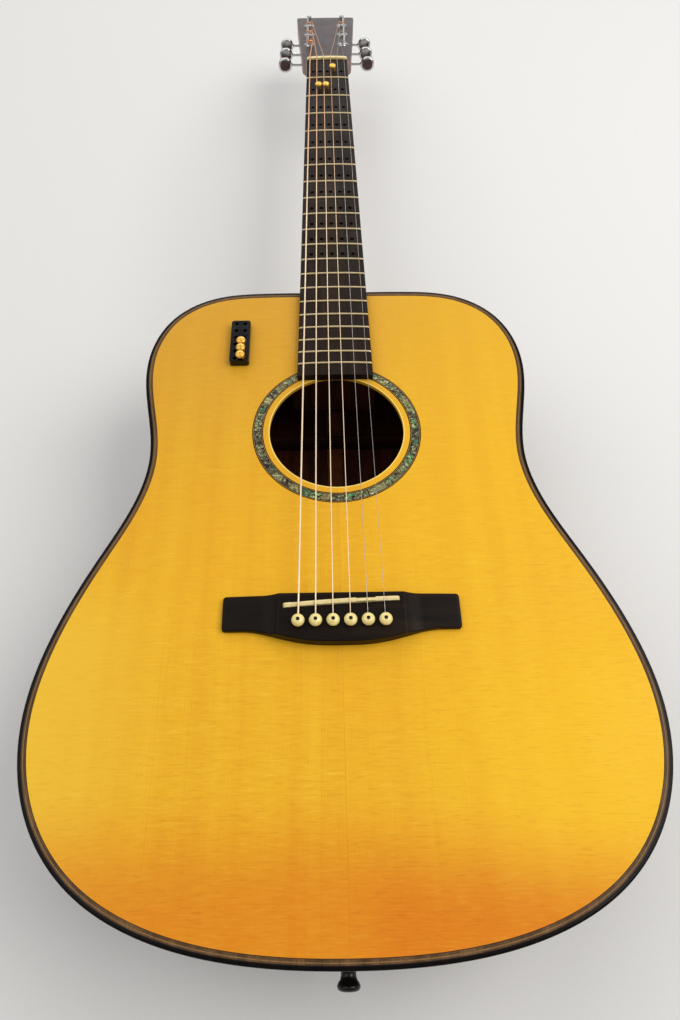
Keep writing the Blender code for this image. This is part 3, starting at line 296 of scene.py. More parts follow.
def spruce():
    """The soundboard: book-matched grain and cross silk, with painted light and shade in broad
    warmer and darker zones.
    """
    paint = Paint("spruce_soundboard")
    x, y = paint.x, paint.y
    half = x.step(-0.0002, 0.0002)  # each half has its own seed
    waver = paint.speckle(6, 7, 6, detail=2.0) * 0.008
    across = abs(x) + waver
    ring = paint.noise(across * 120.0, y * 0.6, half, detail=2.0)
    ring_pitch = 0.00125
    phase = across * (6.2832 / ring_pitch) + ring * 26.0
    line = phase.math("SINE").step(0.30, 1.0)
    fine = paint.noise(across * 2600.0, y * 16.0, half, detail=2.0, rough=0.6)
    broad = paint.noise(across * 70.0, y * 1.1, half, detail=4.0, rough=0.55, distortion=0.3)
    silk = paint.noise(x * 62.0, y * 430.0, half, detail=4.0, rough=0.62, distortion=0.9)
    tone = paint.speckle(11, 9, 1)
    colour = broad.ramp(
        0.22, 0.78, [(0.0, (230, 166, 26)), (0.5, (236, 177, 30)), (1.0, (240, 186, 36))]
    )
    # Growth rings, fine grain, light and dark silk, slow changes of tone.
    colour = colour.mix(line * 0.22, (208, 138, 16))
    colour = colour.mix(fine.step(0.45, 0.8, after=0.16), (214, 144, 20))
    colour = colour.mix(silk.step(0.52, 0.74, after=0.34), (248, 204, 58))
    colour = colour.mix(silk.step(0.48, 0.30, after=0.30), (220, 150, 16))
    colour = colour.mix(tone.step(0.45, 0.72, after=0.28), (236, 168, 26))
    # Painted shade: browner and darker towards the neck and the upper bass bout.
    upper = (y + x * -0.30).step(0.02, 0.30)
    colour = colour.mix(upper * 0.75, colour.mix(0.8, (198, 142, 44)))
    # Painted light: a yellow pool of light on the treble side of the lower bout, and the treble
    # half painted lighter.
    east, south = x + -0.16, (y + 0.085) * 1.3
    near = (east * east + south * south).math("SQRT")
    painted_light_patch = near.step(0.02, 0.14, before=0.65, after=0.0)
    colour = colour.mix(painted_light_patch, colour.mix(0.7, (252, 200, 12)))
    colour = colour.mix(x.step(-0.02, 0.12, after=0.4), (244, 190, 30))
    # Lemon towards the bass edge of the lower bout.
    lemon = x.step(-0.185, -0.09, before=0.75, after=0.0) * y.step(0.05, -0.03)
    colour = colour.mix(lemon, (240, 192, 52))
    # Painted shade: darker orange at the tail, deeper on the treble half.
    reach = (y + tone * 0.03) + (x * 0.12).math("MAXIMUM")
    tail = reach.step(-0.158, -0.088, before=1.0, after=0.0)
    orange = x.step(-0.01, 0.03, before=0.80, after=1.0)
    colour = colour.mix(tail * orange, colour.mix(0.72, (214, 98, 2)))
    # Painted highlight: a pale line round the soundhole's edge.
    out = y - SOUNDHOLE_Y
    radius = (x * x + out * out).math("SQRT")
    rim = radius.step(SOUNDHOLE_RADIUS + 0.00002, SOUNDHOLE_RADIUS + 0.00012) * radius.step(
        SOUNDHOLE_RADIUS + 0.0005, SOUNDHOLE_RADIUS + 0.0011, before=0.8, after=0.0
    )
    colour = colour.mix(rim, (254, 228, 128))
    # Light and dark flecks across the grain, stronger towards the tail.
    flecks = paint.noise(x * 95.0, y * 900.0, half, detail=3.0, rough=0.6, distortion=0.6)
    low = (y + x * -0.5).step(-0.10, 0.10, before=1.0, after=0.5)
    colour = colour.mix(low * flecks.step(0.52, 0.70), (64, 66, 20), "SCREEN")
    dark_flecks = low * flecks.step(0.48, 0.32, after=0.30)
    colour = colour.mix(dark_flecks, (226, 210, 186), "MULTIPLY")
    # Centre seam.
    seam = abs(x).step(0.00006, 0.00022, before=0.32, after=0.0)
    colour = colour.mix(seam, (170, 104, 22))
    paint.bump(line * -0.35 + (fine * 0.4 + silk * 0.25), depth=0.00003, strength=0.5)
    wear = paint.speckle(20, 14, 20, detail=5.0, rough=0.6)
    paint.set(Base_Color=colour, Roughness=wear.spread(0.50, 0.62), Coat_Weight=0.06,
              Coat_Roughness=wear.spread(0.30, 0.40), Specular_IOR_Level=0.18)


def shell():
    """Abalone in short pieces round the soundhole, each with its own figure."""
    paint = Paint("shell_inlay")
    per_radian = 46 / 6.2832  # 46 pieces in the ring
    x, y = paint.x, paint.y - SOUNDHOLE_Y
    turn = y.math("ARCTAN2", x)
    piece = (turn * per_radian).math("FLOOR")
    chance = paint.random(piece)
    lift = chance * 9.0
    warp = paint.noise(x * 120.0, y * 120.0, lift, detail=3.0, rough=0.6, distortion=2.0)
    bands = paint.noise(x * 250.0, y * 310.0, lift + warp * 1.5, detail=2.0, distortion=1.2)
    colour = bands.ramp(0.33, 0.67, [
        (0.00, (16, 14, 12)), (0.14, (62, 48, 46)), (0.24, (30, 40, 30)),
        (0.35, (154, 138, 86)), (0.44, (84, 70, 52)), (0.52, (40, 66, 48)),
        (0.60, (206, 204, 142)), (0.68, (46, 58, 46)), (0.80, (48, 158, 100)),
        (0.90, (104, 82, 78)), (1.0, (214, 210, 158)),
    ])
    # Some pieces are greener, some darker, some paler.
    green = paint.random(piece + 17.0).step(0.66, 0.76)
    colour = colour.mix(green * bands.step(0.46, 0.60, after=0.8), (40, 168, 104))
    colour = colour.mix(chance.step(0.30, 0.22, after=0.62), (52, 38, 40))
    colour = colour.mix(chance.step(0.72, 0.80, after=0.38), (176, 160, 104))
    # Bright and dark flashes, then veins and the joints between pieces.
    flash = paint.noise(x * 560.0, y * 560.0, lift + 3.0, detail=1.0, rough=0.4, distortion=0.8)
    colour = colour.mix(flash.step(0.60, 0.68, after=0.7), (216, 212, 158))
    colour = colour.mix(flash.step(0.42, 0.34, after=0.75), (20, 17, 14))
    edges = paint.cell_edges(x * 420.0, y * 420.0, lift)
    colour = colour.mix(edges.step(0.0, 0.06, before=0.35, after=0.0), (26, 24, 22))
    part_way = (turn * per_radian).math("FRACT")
    seam = abs(part_way - 0.5).step(0.46, 0.495, after=0.8)
    colour = colour.mix(seam, (18, 14, 12))
    paint.bump(bands * 0.5 + seam * -0.5, depth=0.00003, strength=0.5)
    paint.set(Base_Color=colour, Metallic=0.15, Roughness=bands.spread(0.2, 0.36),
              Coat_Weight=0.2, Coat_Roughness=0.1, Specular_IOR_Level=0.3)


def bone(name, base, shade, rough):
    """Cloudy cream with faint fibres."""
    paint = Paint(name)
    cloud = paint.speckle(260, 260, 260, detail=4.0, rough=0.6, distortion=0.4)
    fibre = paint.speckle(500, 2600, 900, detail=2.0, rough=0.6)
    colour = cloud.ramp(0.3, 0.7, [(0.0, shade), (1.0, base)])
    colour = colour.mix(fibre.step(0.55, 0.8, after=0.3), shade)
    paint.bump(fibre, depth=0.00001, strength=0.4)
    paint.set(Base_Color=colour, Roughness=cloud.spread(rough - 0.06, rough + 0.1),
              Subsurface_Weight=0.05, Coat_Weight=0.3, Coat_Roughness=0.08)


def gloss_black(name, tint, rough):
    """Shiny black with scuffs and a little dust."""
    paint = Paint(name)
    scuff = paint.speckle(1500, 90, 1500, detail=3.0, rough=0.7)
    dust = paint.speckle(900, 900, 900, detail=2.0)
    cloud = paint.speckle(70, 70, 70, detail=4.0, rough=0.6)
    colour = paint.mix(dust.step(0.68, 0.8, after=0.25), tint, (70, 68, 64))
    paint.bump(scuff * 0.4, depth=0.00001, strength=0.4)
    paint.set(Base_Color=colour, Roughness=cloud.spread(rough, rough + 0.12),
              Specular_IOR_Level=0.25, Coat_Weight=0.12, Coat_Roughness=0.04)


# name, grain axis, figure size, roughness range, coat, coat roughness, pores, specular, colours
TIMBERS = (
    ("purfling_brown", "y", 0.6, (0.4, 0.5), 0.05, 0.12, 0.3, 0.15,
     [(64, 44, 26), (92, 67, 40), (122, 91, 56)]),
    ("purfling_tan", "y", 0.5, (0.4, 0.5), 0.05, 0.12, 0.2, 0.15, [(120, 88, 52), (158, 120, 76)]),
    ("line_dark", "y", 0.5, (0.4, 0.5), 0.0, 0.12, 0.2, 0.15, [(14, 9, 6), (34, 22, 14)]),
    ("line_gold", "y", 0.5, (0.3, 0.4), 0.1, 0.12, 0.1, 0.25, [(186, 138, 66), (214, 170, 96)]),
    ("line_light", "y", 0.5, (0.3, 0.4), 0.2, 0.12, 0.1, 0.5, [(190, 160, 104), (222, 198, 144)]),
    ("binding_black", "y", 0.6, (0.2, 0.3), 0.06, 0.1, 0.2, 0.06, [(6, 5, 5), (18, 13, 11)]),
    ("rosewood_gloss", "y", 1.6, (0.24, 0.36), 0.5, 0.12, 0.5, 0.3,
     [(30, 12, 8), (60, 26, 17), (86, 42, 26), (42, 17, 12)], True),
    ("ebony_board", "y", 0.7, (0.44, 0.58), 0.0, 0.12, 0.6, 0.1,
     [(20, 13, 8), (33, 22, 14), (52, 36, 23)]),
    ("ebony_bridge", "x", 0.7, (0.34, 0.46), 0.0, 0.12, 0.6, 0.1,
     [(14, 9, 6), (25, 17, 11), (44, 29, 18)]),
    ("head_veneer", "y", 1.2, (0.32, 0.42), 0.15, 0.3, 0.5, 0.3,
     [(62, 52, 54), (84, 72, 74), (104, 90, 90)]),
    ("mahogany_satin", "y", 1.0, (0.3, 0.42), 0.25, 0.12, 0.6, 0.3,
     [(70, 32, 18), (100, 50, 28), (128, 68, 38)]),
    ("mahogany_raw", "z", 1.0, (0.6, 0.75), 0, 0.12, 0.5, 0.2, [(96, 54, 34), (134, 82, 54)]),
    ("brace_wood", "x", 0.8, (0.6, 0.75), 0, 0.12, 0.1, 0.2, [(176, 134, 84), (208, 170, 116)]),
    ("brace_wood_y", "y", 0.8, (0.6, 0.75), 0, 0.12, 0.1, 0.2, [(176, 134, 84), (208, 170, 116)]),
    ("brace_mahogany", "x", 0.8, (0.6, 0.75), 0, 0.12, 0.3, 0.1, [(40, 20, 12), (64, 34, 20)]),
    ("strip_mahogany", "x", 0.8, (0.6, 0.75), 0, 0.12, 0.3, 0.1, [(104, 54, 30), (140, 80, 48)]),
    ("lining_cedar", "y", 0.8, (0.6, 0.75), 0, 0.12, 0.2, 0.5, [(168, 120, 74), (206, 160, 108)]),
)
# name, colour, tarnish, roughness, added by wear, brush marks to the metre, metallic, colour
# towards the nut
METALS = (
    ("bronze_wrap", (255, 234, 200), (246, 204, 162), 0.36, 0.12, 2000.0, 0.45, (216, 146, 104)),
    ("bronze_coil", (236, 184, 146), (188, 128, 92), 0.34, 0.12, 2000.0, 0.85),
    ("plain_wire", (196, 190, 184), (140, 134, 130), 0.3, 0.12, 2000.0, 0.8),
    ("fret_wire", (240, 216, 168), (196, 170, 124), 0.3, 0.12, 1200.0, 0.6),
    ("chrome_plate", (206, 206, 206), (150, 150, 150), 0.10, 0.08, 700.0, 1.0),
    ("nickel_part", (190, 186, 178), (128, 122, 110), 0.22, 0.12, 900.0, 1.0),
    ("brass_peg", (240, 192, 88), (168, 104, 34), 0.32, 0.14, 900.0, 0.85),
    ("rod_steel", (90, 88, 86), (50, 46, 42), 0.4, 0.2, 800.0, 1.0),
)

spruce()
for row in TIMBERS:
    timber(*row)
shell()
bone("bone_nut", base=(255, 238, 176), shade=(232, 202, 128), rough=0.32)
bone("bone_saddle", base=(252, 234, 178), shade=(232, 204, 136), rough=0.32)
bone("pin_cream", base=(252, 238, 166), shade=(236, 206, 122), rough=0.22)
gloss_black("pin_dot", tint=(20, 14, 10), rough=0.2)
for row in METALS:
    metal(*row)
gloss_black("holder_plastic", tint=(8, 8, 9), rough=0.10)
gloss_black("end_pin_black", tint=(14, 11, 10), rough=0.18)

# ------------------------------------------------------------------ shape builders


def linked(name, data):
    obj = bpy.data.objects.new(name, data)
    bpy.context.scene.collection.objects.link(obj)
    return obj


def evaluated_mesh(obj):
    """The object's shape as a new mesh; the object is removed."""
    bpy.context.view_layer.update()
    graph = bpy.context.evaluated_depsgraph_get()
    mesh = bpy.data.meshes.new_from_object(obj.evaluated_get(graph))
    bpy.data.objects.remove(obj, do_unlink=True)
    return mesh


def modified(mesh, kind, **settings):
    """The mesh after one modifier."""
    obj = linked("work", mesh)
    modifier = obj.modifiers.new(kind, kind)
    for key, value in settings.items():
        setattr(modifier, key, value)
    return evaluated_mesh(obj)


def cut(mesh, tool, operation="DIFFERENCE"):
    helper = linked("work_cut", tool)
    out = modified(mesh, "BOOLEAN", operation=operation, object=helper, solver="EXACT")
    bpy.data.objects.remove(helper, do_unlink=True)
    return out


def eased(mesh, width, segments=2, angle=40.0):
    """Rounds the edges that are sharper than the angle."""
    return modified(mesh, "BEVEL", width=width, segments=segments, limit_method="ANGLE",
                    angle_limit=radians(angle), use_clamp_overlap=True)


def part(name, mesh, finish, slot, node=None, body=ROOT, angle=38.0):
    """Adds a mesh from the guitar's frame, riding on a body; it may replace a CAD node.

    Large flat faces keep flat normals and the small eased edges take the rounding."""
    mesh.transform(Matrix.Translation(SHIFT))
    mesh.shade_smooth()
    mesh.set_sharp_from_angle(angle=radians(angle))
    mesh = modified(mesh, "WEIGHTED_NORMAL", keep_sharp=True, weight=50)
    mesh.materials.clear()
    mesh.materials.append(MATERIALS[finish])
    obj = linked(name, mesh)
    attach(obj, body)
    if node:
        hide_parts(node)


def mesh_of(verts, faces, matrix=None, merge=0.0):
    mesh = bpy.data.meshes.new("shape")
    mesh.from_pydata([tuple(v) for v in verts], [], [tuple(f) for f in faces])
    if matrix is not None:
        mesh.transform(matrix)
    bm = bmesh.new()
    bm.from_mesh(mesh)
    if merge:
        bmesh.ops.remove_doubles(bm, verts=bm.verts, dist=merge)
    bmesh.ops.recalc_face_normals(bm, faces=bm.faces)
    bm.to_mesh(mesh)
    bm.free()
    return mesh


def joined(*meshes):
    bm = bmesh.new()
    for mesh in meshes:
        bm.from_mesh(mesh)
    out = bpy.data.meshes.new("shape")
    bm.to_mesh(out)
    bm.free()
    return out


def loft(sections, closed=False, matrix=None, merge=0.0):
    """Skin over equal rings of points: capped, or with the last ring joined to the first."""
    count, rings = len(sections[0]), len(sections)
    verts = [point for section in sections for point in section]
    faces = []
    for i in range(rings if closed else rings - 1):
        this, following = i * count, ((i + 1) % rings) * count
        for k in range(count):
            j = (k + 1) % count
            faces.append((this + k, this + j, following + j, following + k))
    if not closed:
        faces.append(tuple(range(count))[::-1])
        faces.append(tuple(range((rings - 1) * count, rings * count)))
    return mesh_of(verts, faces, matrix, merge)


def turned(profile, sides=32, matrix=None):
    """Solid of revolution about z from (radius, height) points, from one end to the other."""
    angles = np.arange(sides) * 2 * pi / sides
    sections = []
    for radius, z in profile:
        radius = max(radius, 1e-6)
        sections.append([(radius * cos(a), radius * sin(a), z) for a in angles])
    return loft(sections, matrix=matrix, merge=3e-6)


def tube(points, radii, sides=8):
    """A round bar along a polyline; radii is one number or one for each point."""
    points = np.array([tuple(p) for p in points], float)
    count = len(points)
    radii = np.broadcast_to(np.asarray(radii, float), (count,))
    tangents = np.gradient(points, axis=0)
    tangents /= np.linalg.norm(tangents, axis=1)[:, None]
    normals = np.zeros_like(points)
    normal = np.array([0.0, 0.0, 1.0] if abs(tangents[0][2]) < 0.9 else [1.0, 0.0, 0.0])
    for k, tangent in enumerate(tangents):
        normal = normal - tangent * (normal @ tangent)
        normal /= np.linalg.norm(normal)
        normals[k] = normal
    sideways = np.cross(tangents, normals)
    angles = np.arange(sides) * 2 * pi / sides
    rings = points[:, None, :] + radii[:, None, None] * (
        normals[:, None, :] * np.cos(angles)[None, :, None]
        + sideways[:, None, :] * np.sin(angles)[None, :, None]
    )
    i, k = np.meshgrid(np.arange(count - 1), np.arange(sides), indexing="ij")
    j = (k + 1) % sides
    corners = [i * sides + k, (i + 1) * sides + k, (i + 1) * sides + j, i * sides + j]
    faces = np.stack(corners, -1).reshape(-1, 4).tolist()
    faces.append(list(range(sides)))
    faces.append(list(range((count - 1) * sides, count * sides))[::-1])
    mesh = bpy.data.meshes.new("tube")
    mesh.from_pydata(rings.reshape(-1, 3).tolist(), [], faces)
    return mesh


def plate(loops, low, high, ease=0.0, matrix=None, segments=2):
    """A flat outline with holes, extruded from z = low to high, with eased edges."""
    data = bpy.data.curves.new("drawing", "CURVE")
    data.dimensions = "2D"
    data.fill_mode = "BOTH"
    data.extrude = (high - low) / 2
    for loop in loops:
        spline = data.splines.new("POLY")
        spline.points.add(len(loop) - 1)
        for point, (x, y) in zip(spline.points, loop):
            point.co = (x, y, 0.0, 1.0)
        spline.use_cyclic_u = True
    flat = evaluated_mesh(linked("drawing", data))
    bm = bmesh.new()
    bm.from_mesh(flat)
    bmesh.ops.remove_doubles(bm, verts=bm.verts, dist=1e-6)
    bmesh.ops.dissolve_limit(bm, angle_limit=0.002, verts=bm.verts, edges=bm.edges, delimit=set())
    bmesh.ops.translate(bm, verts=bm.verts, vec=(0, 0, (low + high) / 2))
    bmesh.ops.recalc_face_normals(bm, faces=bm.faces)
    bm.to_mesh(flat)
    bm.free()
    if ease:
        flat = eased(flat, ease, segments)
    if matrix is not None:
        flat.transform(matrix)
    return flat


def block(low, high, matrix=None):
    (x0, y0, z0), (x1, y1, z1) = low, high
    verts = [(x, y, z) for z in (z0, z1) for y in (y0, y1) for x in (x0, x1)]
    faces = [(0, 2, 3, 1), (4, 5, 7, 6), (0, 1, 5, 4), (2, 6, 7, 3), (0, 4, 6, 2), (1, 3, 7, 5)]
    return mesh_of(verts, faces, matrix)


def circle(x, y, radius, sides):
    step = 2 * pi / sides
    return [(x + radius * cos(step * k), y + radius * sin(step * k)) for k in range(sides)]


def swelled(value, power):
    """A power that keeps the sign, for superellipses."""
    return copysign(abs(value) ** power, value)


def moved(x, y, z):
    return Matrix.Translation((x, y, z))


def spun(axis, angle=pi / 2):
    return Matrix.Rotation(angle, 4, axis)


def between(start, end):
    """Matrix that puts local z along start to end, with the origin at start."""
    start, end = Vector(start), Vector(end)
    return Matrix.Translation(start) @ (end - start).to_track_quat("Z", "Y").to_matrix().to_4x4()


# ------------------------------------------------------------------ the guitar's curves
PER_SPAN = 24  # spline points to each template point
SPANS = 170  # along one half of the body


def periodic_spline(points):
    """Closed natural spline through the points, spaced by chord length."""
    points = np.array(points)
    chords = np.linalg.norm(np.roll(points, -1, axis=0) - points, axis=1)
    count = len(points)
    system, right = np.zeros((count, count)), np.zeros((count, 2))
    for i in range(count):
        j = (i + 1) % count
        before, after = chords[i - 1], chords[i]
        system[i, i - 1] += before
        system[i, i] += 2 * (before + after)
        system[i, j] += after
        right[i] = 6 * ((points[j] - points[i]) / after - (points[i] - points[i - 1]) / before)
    second = np.linalg.solve(system, right)
    out = []
    for i, chord in enumerate(chords):
        j = (i + 1) % count
        for share in np.arange(PER_SPAN) / PER_SPAN:
            left, done = (1 - share) * chord, share * chord
            out.append((second[i] * left**3 + second[j] * done**3) / (6 * chord)
                       + (points[i] / chord - second[i] * chord / 6) * left
                       + (points[j] / chord - second[j] * chord / 6) * done)
    return np.array(out)


def path_length(points):
    """Distance run along a polyline, at each of its points."""
    return np.concatenate([[0.0], np.cumsum(np.linalg.norm(np.diff(points, axis=0), axis=1))])


mirrored_template = [(-x, y) for x, y in BODY_TEMPLATE[-2:0:-1]]
DENSE = periodic_spline(list(BODY_TEMPLATE) + mirrored_template)
DENSE = DENSE[: (len(BODY_TEMPLATE) - 1) * PER_SPAN + 1]
DENSE[0, 0] = DENSE[-1, 0] = 0.0


def half_outline(inset, spans=SPANS):
    """Treble half, tail to head, moved inward from the outer edge by inset."""
    step = np.gradient(DENSE, axis=0)
    step /= np.linalg.norm(step, axis=1)[:, None]
    normal = np.stack([step[:, 1], -step[:, 0]], axis=1)
    normal[0], normal[-1] = (0.0, -1.0), (0.0, 1.0)
    points = DENSE + normal * (TEMPLATE_INSET - inset)
    run = path_length(DENSE)
    wanted = linspace(0.0, run[-1], spans + 1)
    return np.stack([np.interp(wanted, run, points[:, k]) for k in (0, 1)], axis=1)


def outline(inset):
    half = half_outline(inset)
    return np.concatenate([half, half[1:-1][::-1] * (-1.0, 1.0)])


def fret_y(fret):
    return SCALE_LENGTH * 2 ** (-fret / 12)


TAIL_Y = DENSE[0, 1] - TEMPLATE_INSET
HEAD_Y = DENSE[-1, 1] + TEMPLATE_INSET
BACK_MID_Y = (fret_y(14) + TAIL_Y) / 2
BACK_HALF = BACK_MID_Y - TAIL_Y


def back_z(x, y):
    """Outer face of the arched back."""
    slope = (DEPTH_TAIL - DEPTH_NECK) / (2 * BACK_HALF)
    mid = -(DEPTH_TAIL + DEPTH_NECK) / 2 - BACK_HALF**2 / (2 * BACK_RADIUS)
    run = y - BACK_MID_Y
    return mid + slope * run + (x * x + run * run) / (2 * BACK_RADIUS)


def moulding(section, on_back=False):
    """A closed moulding round the body from (inset, z); on_back measures z from the back."""
    loops = [outline(inset) for inset, _ in section]
    rings = []
    for k in range(len(loops[0])):
        ring = []
        for loop, (_, z) in zip(loops, section):
            x, y = loop[k]
            ring.append((x, y, z + back_z(x, y) if on_back else z))
        rings.append(ring)
    return loft(rings, closed=True)


FRETS = 20
BOARD_WIDTH_LAST = 0.0591  # at the last fret


def board_half(y):
    rate = (BOARD_WIDTH_LAST - NUT_WIDTH) / (SCALE_LENGTH - fret_y(FRETS))
    return (NUT_WIDTH + rate * (SCALE_LENGTH - y)) / 2


def crown(x):
    return -x * x / (2 * BOARD_RADIUS)


def string_x(i, y):
    share = y / SCALE_LENGTH
    return (SPREAD_SADDLE + (SPREAD_NUT - SPREAD_SADDLE) * share) * (i / 5 - 0.5)


def string_bottom(i, y):
    share = y / SCALE_LENGTH
    return STRING_Z_SADDLE + (STRING_Z_NUT - STRING_Z_SADDLE) * share + crown(string_x(i, y))


SADDLE_SLOPE = 0.0534


def saddle_y(x):
    return 0.0007 + SADDLE_SLOPE * x


def head_point(x, along, rise):
    """A point of the tilted headstock; rise is above its wooden face."""
    y = HEAD_START_Y + along * cos(HEAD_TILT) + rise * sin(HEAD_TILT)
    return Vector((x, y, -0.0010 - along * sin(HEAD_TILT) + rise * cos(HEAD_TILT)))


def head_matrix(x=0.0, along=0.0, rise=0.0):
    return Matrix.Translation(head_point(x, along, rise)) @ spun("X", -HEAD_TILT)


# ------------------------------------------------------------------ top and rosette
ROSETTE_INNER = 0.0555
ROSETTE_OUTER = 0.0636
SHELL_BORDER = 0.00151
# Borders of the rosette, inside to outside: radius, width, finish.
ROSETTE_LINES = (
    (ROSETTE_INNER, 0.00070, "line_dark"),
    (ROSETTE_INNER + 0.00070, 0.00030, "line_gold"),
    (ROSETTE_INNER + 0.00100, 0.00050, "line_dark"),
    (ROSETTE_OUTER - 0.00150, 0.00050, "line_dark"),
    (ROSETTE_OUTER - 0.00100, 0.00030, "line_gold"),
    (ROSETTE_OUTER - 0.00070, 0.00070, "line_dark"),
)


def keyhole(x, sides=20):
    """Pin hole with a string notch towards the saddle."""
    half_angle = asin(NOTCH_HALF / PIN_HOLE_RADIUS)
    start, turn = pi / 2 - half_angle, 2 * pi - 2 * half_angle
    angles = [start - turn * k / sides for k in range(sides + 1)]
    ring = [(x + PIN_HOLE_RADIUS * cos(a), PIN_Y + PIN_HOLE_RADIUS * sin(a)) for a in angles]
    return ring + [(x - NOTCH_HALF, PIN_Y + NOTCH_END), (x + NOTCH_HALF, PIN_Y + NOTCH_END)]


PIN_X = [SPREAD_PINS * (i / 5 - 0.5) for i in range(6)]
PIN_HOLES = [keyhole(x) for x in PIN_X]


def flat_ring(inner, outer, low, high, ease, sides=180):
    """A washer round the soundhole's centre, with slightly eased upper edges."""
    section = [(inner, low), (outer, low), (outer, high - ease), (outer - ease, high),
               (inner + ease, high), (inner, high - ease)]
    rings = []
    for k in range(sides):
        a = 2 * pi * k / sides
        rings.append([(r * cos(a), SOUNDHOLE_Y + r * sin(a), z) for r, z in section])
    return loft(rings, closed=True)


def soundboard():
    edge = [tuple(point) for point in outline(TOP_INSET)]
    hole = circle(0, SOUNDHOLE_Y, SOUNDHOLE_RADIUS, 120)
    mesh = plate([edge, hole] + PIN_HOLES, -TOP_THICK, 0.0)
    channel = flat_ring(ROSETTE_INNER - 0.00005, ROSETTE_OUTER + 0.00005, -0.0014, 0.002, 0.0, 120)
    return eased(cut(mesh, channel), 0.00022, 2, 50)


part("soundboard_top", soundboard(), "spruce_soundboard", "spruce_top", "soundboard", angle=50)
for k, (radius, width, finish) in enumerate(ROSETTE_LINES):
    line = flat_ring(radius + 0.00001, radius + width, -0.0013, 0.00004, 0.00004)
    part("rosette_line_%d" % k, line, finish, "rosette_inlay", None if k else "rosette")
band = flat_ring(ROSETTE_INNER + SHELL_BORDER, ROSETTE_OUTER - SHELL_BORDER,
                 -0.0013, 0.00006, 0.00006, 240)
part("rosette_shell", band, "shell_inlay", "rosette_inlay")

# ------------------------------------------------------------------ edging
# From the spruce outwards: name, start and end outside the spruce, finish.
PURFLING = (
    ("purfling_brown_inner", 0.0003, 0.0017, "purfling_brown"),
    ("purfling_tan", 0.0017, 0.0022, "purfling_tan"),
    ("purfling_brown_outer", 0.0022, 0.0030, "purfling_brown"),
    ("purfling_outer_line", 0.0030, 0.0035, "line_dark"),
)
PURFLING_LOW = -0.0015
BINDING_ROUND = 0.0013
LINE_HEIGHT = 0.0005  # pale line beside the binding, on the sides

first_end = TOP_INSET - 0.0003
part("purfling_inner_line",
     moulding([(TOP_INSET, PURFLING_LOW), (TOP_INSET, 0.0), (first_end, 0.00002),
               (first_end, PURFLING_LOW)]), "line_dark", "binding")
for name, start, end, finish in PURFLING:
    start, end = TOP_INSET - start, TOP_INSET - end
    section = [(start, PURFLING_LOW), (start, 0.00003), (end, 0.00003), (end, PURFLING_LOW)]
    part(name, moulding(section), finish, "binding")


def edging(face, sign, section):
    """Black binding and the pale line beside it, round the top or the back."""
    on_back = sign > 0
    part("binding_%s_black" % face, moulding(section, on_back), "binding_black", "binding",
         "binding_" + face)
    near, far = sign * (BINDING_HEIGHT + 0.00002), sign * (BINDING_HEIGHT + LINE_HEIGHT)
    line = [(BINDING_WIDTH, far), (BINDING_WIDTH, near), (-0.00003, near), (-0.00003, far)]
    part("side_line_" + face, moulding(line, on_back), "line_light", "binding")


round_over = [(BINDING_ROUND - BINDING_ROUND * sin(a), -BINDING_ROUND + BINDING_ROUND * cos(a))
              for a in linspace(0, pi / 2, 7)]
edging("top", -1, [(BINDING_WIDTH, -BINDING_HEIGHT), (BINDING_WIDTH, 0.0)] + round_over
       + [(0.0, -BINDING_HEIGHT)])
edging("back", 1, [(BINDING_WIDTH, BINDING_HEIGHT), (0.0, BINDING_HEIGHT)]
       + [(inset, -z) for inset, z in round_over[::-1]] + [(BINDING_WIDTH, 0.0)])

# ------------------------------------------------------------------ sides and back
NECK_GAP_HALF = 0.0093  # the sides stop here, either side of the heel joint
STRIPE_HALF = 0.0026  # inlay down the middle of the back
STRIPE_EDGE = 0.0031


def side_wall(sign):
    sections = []
    top_z = -BINDING_HEIGHT - LINE_HEIGHT
    for (x_out, y_out), (x_in, y_in) in zip(half_outline(0.0), half_outline(SIDE_THICK)):
        if y_out > 0.2 and x_out < NECK_GAP_HALF:
            x_out = x_in = NECK_GAP_HALF
        x_out, x_in = max(x_out, 0.00015), max(x_in, 0.00015)
        low_z = back_z(x_out, y_out) + BINDING_HEIGHT + LINE_HEIGHT
        levels = linspace(0, 1, 9)
        ring = [(sign * x_out, y_out, top_z + (low_z - top_z) * t) for t in levels]
        ring += [(sign * x_in, y_in, low_z + (top_z - low_z) * t) for t in levels]
        sections.append(ring)
    drill = turned([(0.0046, 0.0), (0.0046, 0.07)], 24,
                   between((0, TAIL_Y - 0.01, END_PIN_Z), (0, TAIL_Y + 0.06, END_PIN_Z)))
    return cut(loft(sections), drill)


def back_sheet(across=36, spans=110):
    """The arched back plate, in two layers of points joined round the edge."""
    half = half_outline(BINDING_WIDTH, spans)
    rows, width = len(half), across + 1
    verts, faces = [], []
    for level in (0.0, BACK_THICK):
        for x_edge, y in half:
            for share in linspace(-1, 1, width):
                x = share * x_edge
                verts.append((x, y, back_z(x, y) + level))
    layer = rows * width
    for base in (0, layer):
        for i in range(rows - 1):
            for k in range(across):
                a = base + i * width + k
                faces.append((a, a + 1, a + width + 1, a + width))
    for i in range(rows - 1):
        for k in (0, across):
            a = i * width + k
            faces.append((a, a + width, a + width + layer, a + layer))
    for i in (0, rows - 1):
        for k in range(across):
            a = i * width + k
            faces.append((a, a + 1, a + 1 + layer, a + layer))
    return mesh_of(verts, faces, merge=2e-6)


def back_inlay(name, x0, x1, proud, finish):
    """A strip let into the back along y, standing proud of it."""
    sections = []
    for y in linspace(TAIL_Y + 0.0026, HEAD_Y - 0.0026, 90):
        deep, face = back_z(0, y) + 0.0006, back_z(x1, y) - proud
        sections.append([(x0, y, deep), (x1, y, deep), (x1, y, face), (x0, y, face)])
    part(name, loft(sections), finish, "rosewood")


